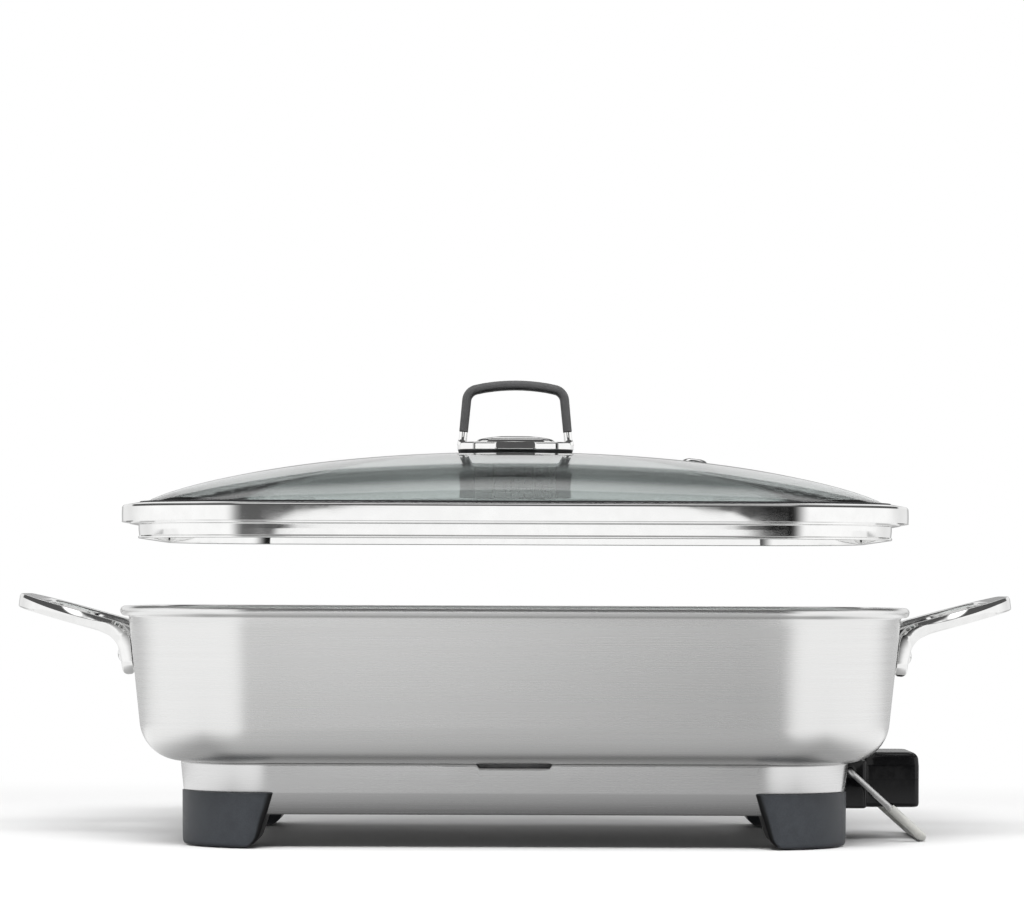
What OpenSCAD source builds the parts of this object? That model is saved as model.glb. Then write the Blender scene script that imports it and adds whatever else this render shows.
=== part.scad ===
// Electric skillet: rectangular steel pan on a skirted base with four corner feet,
// two riveted loop handles, a plug-in control probe, a wire tilt leg at the probe end
// and a lift-off domed glass lid. Millimetres, +Z up, the front faces -Y.
// The origin is on the table under the middle of the pan.

/* [Pan] */
// Length of the pan across its rim
pan_len = 412; // [380:1:450]
// Width of the pan across its rim
pan_wid = 316; // [290:1:350]
// Height of the pan from its underside to its rim
pan_h = 80.6; // [70:0.1:95]
// Height of the pan's underside above the table
stand_h = 44; // [42:0.1:50]
// Thickness of the pan's sheet
pan_wall = 2.5; // [1.5:0.1:3]
// Plan radius of the rim's corners
rim_corner_r = 72; // [64:1:78]
// How far the rim stands out from the wall
rim_overhang = 4.4; // [3:0.1:6]
// Height of the rolled rim
rim_h = 5.2; // [4:0.1:5.8]
// Lean of the walls from upright, in degrees
wall_draft = 6; // [3:0.5:8]
// Outside radius between wall and floor
floor_r = 22; // [16:1:26]

/* [Base] */
// Length of the base skirt at its top
base_len = 350; // [344:1:352]
// Width of the base skirt at its top
base_wid = 254; // [248:1:256]
// Plan radius of the skirt's corners
base_corner_r = 50; // [40:1:60]
// Thickness of the skirt's sheet
skirt_t = 1.2; // [0.8:0.1:2]
// Height above the table where the skirt bends inward, level with the feet's tops
skirt_bend_z = 28.8; // [27:0.1:31]
// Height above the table of the skirt's lower edge
skirt_bottom_z = 17.3; // [15:0.1:19]
// How far the upper band leans in down to the bend
skirt_lean = 1.6; // [0.5:0.1:3]
// How far the lower band tucks in below the bend
skirt_tuck = 7.5; // [5:0.1:10]
// Width of the skirt's turned-in edges
skirt_flange = 8; // [6:0.5:10]
// Width of the notch in the skirt's front edge
notch_w = 36; // [20:1:60]
// Depth of that notch
notch_h = 2; // [1:0.1:3]
// Thickness of the bottom cover
cover_t = 1.2; // [0.8:0.1:2]

/* [Feet] */
// Length of a foot along each side of its corner, at the top
foot_len = 49.5; // [44:0.5:56]
// How much shorter a foot is at the table
foot_taper = 9; // [4:0.5:14]
// How far a foot stands out from the base's side
foot_side_proud = 0.65; // [0.4:0.05:2]
// How far a foot stands out from the base's front or back
foot_front_proud = 3.3; // [2:0.1:5]
// Diameter of the rubber pad under a foot
pad_d = 16; // [12:0.5:20]
// Thickness of the pad
pad_t = 3; // [2:0.1:4]
// How far the pad stands out of the foot
pad_proud = 0.6; // [0.3:0.1:1]
// Distance of the foot's screw from the base corner's outer sides
foot_screw_inset = 28; // [25:0.5:32]

/* [Heating] */
// Gap between the heat plate and the base's ends
plate_end_gap = 25; // [20:1:35]
// Gap between the heat plate and the base's sides
plate_side_gap = 27; // [22:1:32]
// Thickness of the heat plate
plate_t = 8; // [7:0.1:9]
// Plan radius of the plate's corners
plate_corner_r = 30; // [20:1:40]
// Diameter of the tubular heating element
element_d = 7; // [6:0.1:8]
// Distance of the element's long runs from the plate's sides
element_edge = 30; // [24:1:36]
// Distance of the two terminals from the middle
terminal_y = 18; // [16:0.5:20]
// Diameter of a terminal pin
terminal_d = 4; // [3:0.1:5]
// Diameter of the probe's sensing rod
rod_d = 5; // [4:0.1:5.6]
// How far the rod lies below the terminals
rod_drop = 6; // [5.6:0.1:6.6]
// Wall of the tube that takes the rod
guide_wall = 1.2; // [0.8:0.1:1.6]
// Distance of the base's studs from the base's ends
stud_end_inset = 53; // [47:1:63]
// Distance of the base's studs from the base's sides
stud_side_inset = 39; // [37:1:43]
// Diameter of a stud
stud_d = 8; // [7:0.1:10]

/* [Side handles] */
// Length of the whole skillet across its handles
handle_reach = 534; // [510:1:560]
// Width of a handle's loop
handle_span = 116; // [100:1:130]
// Width of the loop's bar, seen from above
handle_bar = 13; // [11:0.5:16]
// Thickness of the bar and its lugs
handle_t = 7.3; // [6:0.1:9]
// Rise of the loop, in degrees
handle_slope = 15.3; // [10:0.1:20]
// Inside radius of the bend above a lug
handle_bend_r = 8; // [6:0.5:10]
// Outside plan radius of the loop's corners
handle_tip_r = 38; // [30:1:42]
// Gap between a lug and the pan's wall
handle_gap = 2; // [1:0.1:3]
// Height of the lugs' lower ends above the pan's underside
lug_z = 44.5; // [40:0.5:48]
// Height of the rivets above the pan's underside
rivet_z = 55.5; // [53:0.5:56]
// Height of the bend's centre above the pan's underside
bend_z = 59.7; // [58:0.1:61]
// Diameter of a rivet
rivet_d = 5; // [4:0.1:6]
// Diameter of a rivet's head
rivet_head_d = 8; // [7:0.1:8.4]
// Height of a rivet's head
rivet_head_h = 1.9; // [1.2:0.1:2.5]

/* [Lid] */
// How far the lid hangs above its seat, as it is shown lifted off
lid_lift = 42.4; // [20:0.1:60]
// Length of the lid's steel rim
lid_len = 410; // [406:1:412]
// Width of the lid's steel rim
lid_wid = 314; // [310:1:316]
// Plan radius of the lid's corners
lid_corner_r = 67; // [60:1:72]
// Height of the rim's outer band
band_h = 10; // [8:0.1:10.4]
// Height of the rim above its seat, to the lip over the glass
lip_h = 11.5; // [11:0.1:13]
// How far the locating skirt is set in from the band
skirt_inset = 8.7; // [8:0.1:9.6]
// How far the locating skirt reaches down into the pan
lid_skirt_h = 7.5; // [5:0.1:10]
// Thickness of the rim's sheet
lid_sheet = 1; // [0.8:0.1:1.3]
// Thickness of the glass
glass_t = 4; // [3:0.1:4.5]
// Rise of the glass dome above the lip's underside
glass_rise = 30.6; // [20:0.1:36]
// Fullness of the dome: near 1 for a flat top and steep edges
glass_full = 0.97; // [0.9:0.005:0.98]
// Thickness of the seal round the glass
seal_t = 0.8; // [0.6:0.1:1]
// Distance of the steam vent from the middle
vent_x = 97.5; // [80:0.5:120]
// Diameter of the vent's collar
vent_d = 14; // [11:0.5:16]
// Bore of the vent
vent_bore = 4; // [3:0.1:5]

/* [Lid handle] */
// Length of the handle's foot
grip_foot_len = 62.8; // [58:0.1:70]
// Width of the handle's foot
grip_foot_wid = 24; // [20:0.5:30]
// Height of the handle's foot
grip_foot_h = 4.3; // [4:0.1:6]
// Thickness of the gasket under the foot
gasket_t = 1.2; // [0.8:0.1:2]
// Outside width of the arch
arch_w = 59.5; // [54:0.5:62]
// Height of the arch above the foot's underside
arch_h = 37.6; // [32:0.1:44]
// Thickness of the arch
arch_t = 5.6; // [5:0.1:7]
// Depth of the arch from front to back
arch_depth = 16; // [13:0.5:20]
// Outside radius of the arch's shoulders
arch_r = 11; // [9:0.5:14]
// Radius of the arch's crown
crown_r = 85; // [70:1:120]
// Height of the bare steel legs above the foot's underside
leg_h = 9.6; // [8:0.1:11]
// Thickness of the steel strap inside the grip
strap_t = 2.4; // [2:0.1:3]
// Width of that strap
strap_w = 10; // [8:0.5:11]
// Length of the domed cap on the foot
cap_len = 43; // [36:0.5:45]
// Width of the cap
cap_wid = 18; // [14:0.5:20]
// Height of the cap
cap_h = 3.6; // [2:0.1:4.5]
// Length of the plate on the foot's front
plate_l = 22.6; // [16:0.1:28]
// Distance of the handle's two screws from the middle
grip_screw_x = 14; // [10:0.5:18]

/* [Control probe] */
// Width of the socket housing on the base
socket_wid = 86; // [80:1:88]
// How far the socket housing stands out from the base
socket_out = 13; // [10:0.5:15]
// Width of the probe's body
probe_wid = 56; // [54:1:62]
// Length of the probe's body out from the socket
probe_len = 26; // [24:0.5:32]
// Height of the probe's top above the table
probe_top_z = 47.2; // [46:0.1:48]
// Height of the probe's underside above the table
probe_bottom_z = 17.6; // [16.5:0.1:18.5]
// Wall of the probe's shells
probe_wall = 2.2; // [1.8:0.1:2.6]
// Width of the nose that plugs into the socket
nose_wid = 52; // [50:0.5:54]
// Height of the nose
nose_h = 16; // [15:0.1:17]
// Length of the nose
nose_len = 9; // [8:0.1:10]
// Length of the sensing rod beyond the nose
rod_len = 50; // [40:0.5:54]
// How far the probe's end stands out round the dial
hood_len = 3.2; // [2.8:0.1:4]
// Diameter of the dial on the probe's end
dial_d = 24; // [20:0.5:25]
// Thickness of the dial
dial_t = 2.8; // [2.4:0.1:3]
// Diameter of the dial's shaft
shaft_d = 6; // [5:0.1:8]
// Bore of the cord gland
gland_bore = 6.5; // [5:0.1:8]

/* [Tilt leg] */
// Distance between the leg's two wires
tilt_span = 92; // [90:0.5:96]
// Length of the leg from its pivot to its bar
tilt_len = 52.5; // [48:0.1:56]
// Diameter of the wire
wire_d = 3.4; // [2.8:0.1:3.6]
// Outside diameter of the sleeve on the leg
sleeve_d = 4.8; // [4.6:0.1:6]
// Length of bare wire from the pivot to the sleeve
bare_len = 29; // [20:0.5:34]
// Height of the pivot above the table
pivot_z = 37.5; // [35:0.1:39]

/* [Fits] */
// Gap round screws and pins that pass through a hole
hole_gap = 0.2; // [0.1:0.05:0.3]
// Gap round a turning or sliding pin
run_gap = 0.05; // [0.02:0.01:0.1]
// Gap between shells that move past each other
slide_gap = 0.3; // [0.2:0.05:0.5]
// Diameter of the assembly screws
screw_d = 4; // [3.4:0.1:4.4]
// Diameter of the assembly screws' heads
screw_head_d = 7.4; // [6.6:0.1:8.5]
// Height of the assembly screws' heads
screw_head_h = 2.3; // [1.8:0.1:2.8]

/* [Hidden] */
$fn = 64;

// a small overlap that makes a cut pass clean through
eps = 1;
steel = "lightgray";
chrome = "silver";
black_plastic = [0.06, 0.06, 0.07];
grey_plastic = [0.28, 0.29, 0.31];

// Pan: distances from the corner centre lines
rim_z = stand_h + pan_h;
pan_cx = pan_len / 2 - rim_corner_r;
pan_cy = pan_wid / 2 - rim_corner_r;
wall_top_r = rim_corner_r - rim_overhang;
function wall_r(h) = wall_top_r - (pan_h - rim_h - h) * tan(wall_draft);
function wall_x(h) = pan_cx + wall_r(h);
floor_c = wall_r(floor_r) - floor_r / cos(wall_draft);
// where the pan's end lies at a height h within the bend from wall to floor
function bend_x(h) = pan_cx + floor_c + sqrt(pow(floor_r, 2) - pow(floor_r - h, 2));

// Base
base_cx = base_len / 2 - base_corner_r;
base_cy = base_wid / 2 - base_corner_r;
bend_r = base_corner_r - skirt_lean;
tuck_r = bend_r - skirt_tuck;
cover_top_z = skirt_bottom_z + skirt_t + cover_t;
plate_z = stand_h - plate_t;
terminal_z = plate_z;
rod_z = terminal_z - rod_drop;
nut_d = 7;
nut_h = 3.2;
// plastic between a foot's screw head and the skirt, bore of the studs and how far a screw end stays off
foot_floor = 3;
stud_bore = 10;
end_gap = 0.5;

// Heat plate and studs, from the base's sides
plate_len = base_len - 2 * plate_end_gap;
plate_wid = base_wid - 2 * plate_side_gap;
stud_x = base_len / 2 - stud_end_inset;
stud_y = base_wid / 2 - stud_side_inset;

// Element: the bends of its loop in plan
element_bend_r = 20;
element_out_r = 16;
element_end_gap = 20;
element_lead = 19;
element_y = plate_wid / 2 - element_edge;
element_end_x = plate_len / 2;
element_left_x = element_end_x - element_y - element_end_gap;
element_right_x = element_end_x - element_lead - element_out_r - element_bend_r;

// Control probe, from the skirt outwards, and far enough out for its top to clear the pan
skirt_x = base_len / 2;
probe_pan_gap = 2;
socket_reach = max(skirt_x + socket_out, bend_x(max(0, probe_top_z - stand_h)) + probe_pan_gap);
nose_x = socket_reach - nose_len;
probe_end_x = socket_reach + probe_len;
split_z = (probe_top_z + probe_bottom_z) / 2;
nose_z = (terminal_z + rod_z) / 2 - nose_h / 2;
rod_tip_x = nose_x - rod_len;
pivot_out = 3.6;
pivot_x = skirt_x + pivot_out;
pivot_depth = 8;
socket_screw_len = 8;
socket_screw_inset = 10;
socket_top_gap = 0.6;
pin_inset = 1.5;
tilt_angle = asin((pivot_z - sleeve_d / 2) / tilt_len);

// Lid heights, from the seat upwards
seat_z = rim_z + lid_lift;
lip_z = seat_z + lip_h;
glass_step = 0.8;
dome_inset = 1.2;
lip_inset = 0.5;
channel_w = 4;
seal_gap = 0.1;
glass_hole_gap = 1;
glass_edge_z = lip_z - lid_sheet - seal_t;
glass_top_z = lip_z - lid_sheet + glass_rise;
shelf_z = glass_edge_z - glass_t - seal_t;
lid_cx = lid_len / 2 - lid_corner_r;
lid_cy = lid_wid / 2 - lid_corner_r;
lip_r = lid_corner_r - skirt_inset - lip_inset;
channel_r = lip_r + channel_w;
dome_r = lip_r - dome_inset;
dome_x = lid_cx + dome_r;
dome_y = lid_cy + dome_r;

// Lid handle heights
gasket_z = glass_top_z + run_gap;
foot_z = gasket_z + gasket_t;
foot_top_z = foot_z + grip_foot_h;
grip_z = foot_z + leg_h;
arch_top_z = foot_z + arch_h;
backing_t = 1.5;
backing_z = glass_top_z - glass_t - slide_gap - backing_t;

// Points on an arc, from angle a0 to angle a1
function arc(c, r, a0, a1, n = 8) =
    [for (i = [0 : n]) let (a = a0 + (a1 - a0) * i / n) [c[0] + r * cos(a), c[1] + r * sin(a)]];

// Sweeps an outline drawn as (distance from the corner centre line, height) round a rounded rectangle
module sweep_round(cx, cy) {
    for (turn = [0 : 3]) {
        along = turn % 2 == 0 ? cy : cx;
        out = turn % 2 == 0 ? cx : cy;
        rotate(turn * 90) {
            translate([out, along, 0]) rotate_extrude(angle = 90, $fn = 96) children();
            translate([out, along, 0]) rotate([90, 0, 0]) linear_extrude(2 * along) children();
        }
    }
}

// A rounded plate: cx and cy are the corner centres
module round_plate(cx, cy, r, h) {
    translate([-cx - r, -cy, 0]) cube([2 * (cx + r), 2 * cy, h]);
    translate([-cx, -cy - r, 0]) cube([2 * cx, 2 * (cy + r), h]);
    for (x = [-cx, cx], y = [-cy, cy]) translate([x, y, 0]) cylinder(r = r, h = h, $fn = 96);
}

// A rod along X
module rod_x(x0, x1, d) {
    translate([x0, 0, 0]) rotate([0, 90, 0]) cylinder(d = d, h = x1 - x0);
}

// A screw pointing up: its head hangs below z = 0
module screw(d, length) {
    cylinder(d = d, h = length);
    translate([0, 0, -screw_head_h]) cylinder(d = screw_head_d, h = screw_head_h);
}

// Puts children at the four places (+-x, +-y)
module four(x, y) {
    for (sx = [-1, 1], sy = [-1, 1]) translate([sx * x, sy * y, 0]) children();
}

// Puts children on the two places +-y
module pair_y(y) {
    for (s = [-1, 1]) translate([0, s * y, 0]) children();
}

// Pan
module pan_outline() {
    nose_r = rim_h / 2;
    in_top_r = wall_r(pan_h) - pan_wall / cos(wall_draft);
    polygon(concat([[0, 0]],
                   arc([floor_c, floor_r], floor_r, -90, -wall_draft),
                   [[wall_top_r, pan_h - rim_h]],
                   arc([rim_corner_r - nose_r, pan_h - nose_r], nose_r, -90, 90),
                   [[in_top_r, pan_h]],
                   arc([floor_c, floor_r], floor_r - pan_wall, -wall_draft, -90),
                   [[0, pan_wall]]));
}

// Puts children on the end wall at height h: local +Z points out of the wall
module on_end_wall(h, side) {
    mirror([side > 0 ? 0 : 1, 0, 0]) translate([wall_x(h), 0, stand_h + h])
        rotate([0, 90 + wall_draft, 0]) children();
}

// The four places of the handle rivets
module at_rivets() {
    for (side = [-1, 1]) on_end_wall(rivet_z, side) pair_y((handle_span - handle_bar) / 2) children();
}

module pan_shell() {
    color(steel) difference() {
        translate([0, 0, stand_h]) {
            sweep_round(pan_cx, pan_cy) pan_outline();
            translate([-pan_cx, -pan_cy, 0]) cube([2 * pan_cx, 2 * pan_cy, pan_wall]);
        }
        at_rivets() translate([0, 0, -pan_wall - eps]) cylinder(d = rivet_d, h = pan_wall + 2 * eps);
    }
}

// Heating: a quarter bend of a tube of diameter d, from angle a0
module quarter_bend(x, y, r, a0, d) {
    translate([x, y, 0]) rotate(a0) rotate_extrude(angle = 90) translate([r, 0]) circle(d = d);
}

// The element's path, drawn as a tube of diameter d
module element_tube(d) {
    inner_x = element_right_x + element_bend_r;
    inner_y = terminal_y + element_out_r;
    translate([0, 0, plate_z]) {
        quarter_bend(-element_left_x, 0, element_y, 90, d);
        quarter_bend(-element_left_x, 0, element_y, 180, d);
        for (s = [0, 1]) mirror([0, s, 0]) {
            translate([0, element_y, 0]) rod_x(-element_left_x, element_right_x, d);
            quarter_bend(element_right_x, element_y - element_bend_r, element_bend_r, 0, d);
            translate([inner_x, inner_y, 0]) rotate([-90, 0, 0])
                cylinder(d = d, h = element_y - element_bend_r - inner_y);
            quarter_bend(inner_x + element_out_r, inner_y, element_out_r, 180, d);
            translate([0, terminal_y, 0]) rod_x(inner_x + element_out_r, element_end_x, d);
        }
    }
}

module heating_element() {
    color("dimgray") element_tube(element_d);
}

module heat_plate() {
    cx = plate_len / 2 - plate_corner_r;
    cy = plate_wid / 2 - plate_corner_r;
    color("gainsboro") difference() {
        translate([0, 0, plate_z]) round_plate(cx, cy, plate_corner_r, plate_t);
        element_tube(element_d + 2 * run_gap);
    }
}

module terminal_pins() {
    color("darkgoldenrod") translate([0, 0, terminal_z])
        pair_y(terminal_y) rod_x(element_end_x, socket_reach - pin_inset, terminal_d);
}

module probe_guide_tube() {
    bore = rod_d + 2 * slide_gap;
    outside = bore + 2 * guide_wall;
    tip_gap = 2;
    end_x = skirt_x - skirt_lean - skirt_t - tip_gap;
    web_len = (end_x - rod_tip_x) / 2;
    color("silver") difference() {
        translate([0, 0, rod_z]) {
            rod_x(rod_tip_x - 2 * tip_gap, end_x, outside);
            translate([rod_tip_x, -outside / 4, 0]) cube([web_len, outside / 2, plate_z - rod_z]);
        }
        translate([0, 0, rod_z]) rod_x(rod_tip_x - tip_gap, end_x + eps, bore);
    }
}

// Base: the space that the skirt fills, from its lower edge to the pan
module base_outline() {
    polygon([[0, skirt_bottom_z], [tuck_r, skirt_bottom_z], [bend_r, skirt_bend_z],
             [base_corner_r, stand_h], [0, stand_h]]);
}

module base_space() {
    sweep_round(base_cx, base_cy) base_outline();
    translate([-base_cx, -base_cy, skirt_bottom_z])
        cube([2 * base_cx, 2 * base_cy, stand_h - skirt_bottom_z]);
}

module skirt_outline() {
    t = skirt_t;
    polygon([[tuck_r - skirt_flange, skirt_bottom_z], [tuck_r, skirt_bottom_z], [bend_r, skirt_bend_z],
             [base_corner_r, stand_h], [base_corner_r - skirt_flange, stand_h],
             [base_corner_r - skirt_flange, stand_h - t], [base_corner_r - t, stand_h - t],
             [bend_r - t, skirt_bend_z], [tuck_r - t, skirt_bottom_z + t],
             [tuck_r - skirt_flange, skirt_bottom_z + t]]);
}

// How far the skirt's end stands from the middle at height z, between its bend and its top
function skirt_face(z) = skirt_x - skirt_lean * (stand_h - z) / (stand_h - skirt_bend_z);

// The two screws that hold the socket housing to the skirt, seated where the leaning wall is nearest
module at_socket_screws() {
    seat_x = skirt_face(terminal_z - screw_head_d / 2) - skirt_t;
    translate([seat_x, 0, terminal_z]) pair_y(socket_wid / 2 - socket_screw_inset)
        rotate([0, 90, 0]) children();
}

module at_foot_screws() {
    four(base_len / 2 - foot_screw_inset, base_wid / 2 - foot_screw_inset) children();
}

module base_skirt() {
    window_y = terminal_y + terminal_d;
    window_z = rod_z - rod_d;
    color(steel) difference() {
        sweep_round(base_cx, base_cy) skirt_outline();
        translate([-notch_w / 2, -base_wid / 2 - eps, stand_h - notch_h])
            cube([notch_w, skirt_flange + 2 * eps, notch_h + eps]);
        translate([skirt_x - skirt_flange, -window_y, window_z])
            cube([skirt_flange + eps, 2 * window_y, terminal_z + terminal_d - window_z]);
        at_socket_screws() translate([0, 0, -skirt_flange])
            cylinder(d = screw_d + 2 * hole_gap, h = 2 * skirt_flange);
        at_foot_screws() cylinder(d = screw_d + 2 * hole_gap, h = cover_top_z);
    }
}

module bottom_cover() {
    edge = 0.6;
    color(steel) difference() {
        translate([0, 0, skirt_bottom_z + skirt_t])
            round_plate(base_cx, base_cy, tuck_r - skirt_t - edge, cover_t);
        four(stud_x, stud_y) cylinder(d = screw_d + 2 * hole_gap, h = stand_h);
        at_foot_screws() cylinder(d = screw_d + 2 * hole_gap, h = stand_h);
    }
}

module base_studs() {
    color("silver") difference() {
        four(stud_x, stud_y) translate([0, 0, cover_top_z]) cylinder(d = stud_d, h = plate_z - cover_top_z);
        four(stud_x, stud_y) cylinder(d = screw_d + 2 * run_gap, h = cover_top_z + stud_bore);
    }
}

module cover_screws() {
    color("silver") four(stud_x, stud_y) translate([0, 0, skirt_bottom_z + skirt_t])
        screw(screw_d, cover_t + stud_bore - end_gap);
}

// Socket housing, shaped to the skirt's outside
module socket_housing() {
    depth = socket_reach - skirt_x + skirt_tuck + skirt_lean;
    top_z = stand_h - socket_top_gap;
    hollow_wid = nose_wid + 2 * slide_gap;
    hollow_h = nose_h + 2 * slide_gap;
    color(black_plastic) difference() {
        translate([socket_reach - depth, -socket_wid / 2, probe_bottom_z])
            cube([depth, socket_wid, top_z - probe_bottom_z]);
        base_space();
        translate([nose_x - slide_gap, -hollow_wid / 2, nose_z - slide_gap])
            cube([nose_len + slide_gap + eps, hollow_wid, hollow_h]);
        translate([0, 0, terminal_z]) pair_y(terminal_y) rod_x(0, socket_reach, terminal_d + 2 * run_gap);
        translate([0, 0, rod_z]) rod_x(0, socket_reach, rod_d + 2 * slide_gap);
        at_socket_screws() cylinder(d = screw_d, h = socket_screw_len);
        for (s = [0, 1]) mirror([0, s, 0]) translate([pivot_x, socket_wid / 2 - pivot_depth, pivot_z])
            rotate([-90, 0, 0]) cylinder(d = wire_d + 2 * run_gap, h = pivot_depth + eps);
    }
}

module socket_screws() {
    color("silver") at_socket_screws() screw(screw_d, socket_screw_len - end_gap);
}

// Feet: s is the side in X and Y
module foot(sx, sy) {
    out_x = base_len / 2 - skirt_lean;
    out_y = base_wid / 2 - skirt_lean;
    run = foot_len - foot_taper;
    screw_x = base_len / 2 - foot_screw_inset;
    screw_y = base_wid / 2 - foot_screw_inset;
    color(grey_plastic) mirror([sx > 0 ? 0 : 1, 0, 0]) mirror([0, sy > 0 ? 0 : 1, 0]) difference() {
        intersection() {
            translate([0, 0, pad_proud])
                round_plate(base_cx, base_cy + foot_front_proud - foot_side_proud, bend_r + foot_side_proud,
                            skirt_bend_z - pad_proud);
            foot_wedge(out_x - foot_len, out_x - run, out_x + foot_side_proud);
            mirror([1, -1, 0]) foot_wedge(out_y - foot_len, out_y - run, out_y + foot_front_proud);
        }
        base_space();
        translate([screw_x, screw_y, 0]) cylinder(d = screw_d + 2 * hole_gap, h = stand_h);
        translate([screw_x, screw_y, 0])
            cylinder(d = screw_head_d + 2 * hole_gap, h = skirt_bottom_z - foot_floor);
        translate([screw_x, screw_y, 0]) cylinder(d = pad_d, h = pad_t);
    }
}

// A wall of space beyond x: top_x at the foot's top and low_x at the table
module foot_wedge(top_x, low_x, end_x) {
    reach = pan_len;
    top_z = skirt_bend_z + eps;
    translate([0, reach, 0]) rotate([90, 0, 0]) linear_extrude(reach)
        polygon([[low_x, 0], [end_x + eps, 0], [end_x + eps, top_z], [top_x, top_z]]);
}

module foot_front_left() { foot(-1, -1); }
module foot_front_right() { foot(1, -1); }
module foot_rear_left() { foot(-1, 1); }
module foot_rear_right() { foot(1, 1); }

module foot_pads() {
    color("black") at_foot_screws() cylinder(d = pad_d, h = pad_t);
}

module foot_screws() {
    seat_z = skirt_bottom_z - foot_floor;
    color("silver") at_foot_screws() translate([0, 0, seat_z])
        screw(screw_d, cover_top_z + nut_h + end_gap - seat_z);
}

module foot_nuts() {
    color("silver") difference() {
        at_foot_screws() translate([0, 0, cover_top_z]) cylinder(d = nut_d, h = nut_h, $fn = 6);
        at_foot_screws() cylinder(d = screw_d, h = stand_h);
    }
}

// Side handles: the strip seen from the front, and the loop seen from above
module handle_strip() {
    n = [cos(wall_draft), -sin(wall_draft)];
    up = [sin(wall_draft), cos(wall_draft)];
    b = [cos(handle_slope), sin(handle_slope)];
    foot_p = [wall_x(lug_z), stand_h + lug_z] + n * handle_gap;
    c = [wall_x(bend_z), stand_h + bend_z] + n * (handle_gap + handle_t + handle_bend_r);
    run = handle_reach / 2;
    a0 = 180 - wall_draft;
    a1 = 90 + handle_slope;
    inner = arc(c, handle_bend_r, a0, a1);
    outer = arc(c, handle_bend_r + handle_t, a1, a0);
    polygon(concat([foot_p + n * handle_t], inner, [inner[len(inner) - 1] + b * run],
                   [outer[0] + b * run], outer, [foot_p]));
}

module handle_loop(inset) {
    end_x = handle_reach / 2 - inset;
    half = handle_span / 2 - inset;
    r = handle_tip_r - inset;
    translate([0, -half]) square([end_x - r, 2 * half]);
    translate([0, r - half]) square([end_x, 2 * (half - r)]);
    for (s = [-1, 1]) translate([end_x - r, s * (half - r)]) circle(r = r, $fn = 96);
}

module handle(side) {
    height = 2 * pan_h;
    color(chrome) mirror([side > 0 ? 0 : 1, 0, 0]) difference() {
        intersection() {
            translate([0, handle_span, 0]) rotate([90, 0, 0]) linear_extrude(2 * handle_span) handle_strip();
            translate([0, 0, stand_h]) linear_extrude(height) difference() {
                handle_loop(0);
                handle_loop(handle_bar);
            }
        }
        on_end_wall(rivet_z, 1) pair_y((handle_span - handle_bar) / 2)
            cylinder(d = rivet_d, h = handle_gap + handle_t + eps);
    }
}

module handle_left() { handle(-1); }
module handle_right() { handle(1); }

module handle_spacers() {
    color(steel) difference() {
        at_rivets() cylinder(d = rivet_head_d, h = handle_gap);
        at_rivets() translate([0, 0, -eps]) cylinder(d = rivet_d, h = handle_gap + 2 * eps);
    }
}

// A rivet's head: a low dome
module rivet_head() {
    r = (rivet_head_d * rivet_head_d / 4 + rivet_head_h * rivet_head_h) / (2 * rivet_head_h);
    intersection() {
        translate([0, 0, rivet_head_h - r]) sphere(r = r);
        cylinder(d = rivet_head_d, h = rivet_head_h);
    }
}

module handle_rivets() {
    stack = handle_gap + handle_t;
    color(chrome) at_rivets() {
        translate([0, 0, -pan_wall]) cylinder(d = rivet_d, h = pan_wall + stack);
        translate([0, 0, stack]) rivet_head();
        translate([0, 0, -pan_wall]) mirror([0, 0, 1]) rivet_head();
    }
}

// Lid rim: a folded outer band, a lip over the glass, a shelf under it and a locating skirt
module lid_rim_outline() {
    r = lid_corner_r;
    skirt_r = r - skirt_inset;
    band_z = seat_z + band_h;
    soft = 1;
    fold_r = channel_r + lid_sheet;
    polygon([[r - lid_sheet, seat_z], [r, seat_z + soft], [r, band_z - soft], [r - soft, band_z],
             [channel_r + 0.4, lip_z - 0.3], [channel_r, lip_z], [lip_r, lip_z], [lip_r, lip_z - lid_sheet],
             [channel_r, lip_z - lid_sheet], [channel_r, shelf_z], [dome_r, shelf_z],
             [dome_r, shelf_z - lid_sheet], [skirt_r - lid_sheet, shelf_z - lid_sheet],
             [skirt_r - lid_sheet, seat_z - lid_skirt_h], [skirt_r, seat_z - lid_skirt_h], [skirt_r, seat_z],
             [fold_r, seat_z], [fold_r, band_z - lid_sheet], [r - lid_sheet, band_z - lid_sheet - soft]]);
}

module lid_rim() {
    color(chrome) sweep_round(lid_cx, lid_cy) lid_rim_outline();
}

module lid_seal() {
    inner_r = dome_r + glass_step + seal_gap;
    color([0.12, 0.12, 0.12]) sweep_round(lid_cx, lid_cy)
        polygon([[inner_r, shelf_z], [channel_r, shelf_z], [channel_r, lip_z - lid_sheet],
                 [inner_r, lip_z - lid_sheet], [inner_r, glass_edge_z],
                 [channel_r - seal_t, glass_edge_z], [channel_r - seal_t, shelf_z + seal_t],
                 [inner_r, shelf_z + seal_t]]);
}

// Glass: a dome whose level lines go from an ellipse at the top to the rounded rectangle at the edge
function edge_point(a, b, r, dir) =
    let (u = [abs(dir[0]), abs(dir[1])],
         sx = dir[0] < 0 ? -1 : 1,
         sy = dir[1] < 0 ? -1 : 1,
         c = [a - r, b - r],
         hit_x = u[0] > 0 ? u * (a / u[0]) : [a, 2 * b],
         hit_y = u[1] > 0 ? u * (b / u[1]) : [2 * a, b],
         k = u * c,
         t = k + sqrt(max(0, k * k - c * c + r * r)),
         p = hit_x[1] <= c[1] ? hit_x : hit_y[0] <= c[0] ? hit_y : u * t)
    [sx * p[0], sy * p[1]];

function dome_curve(s) = 1 - sqrt(1 - s * s);
function dome_drop(rho) = glass_rise * dome_curve(glass_full * rho) / dome_curve(glass_full);

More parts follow.
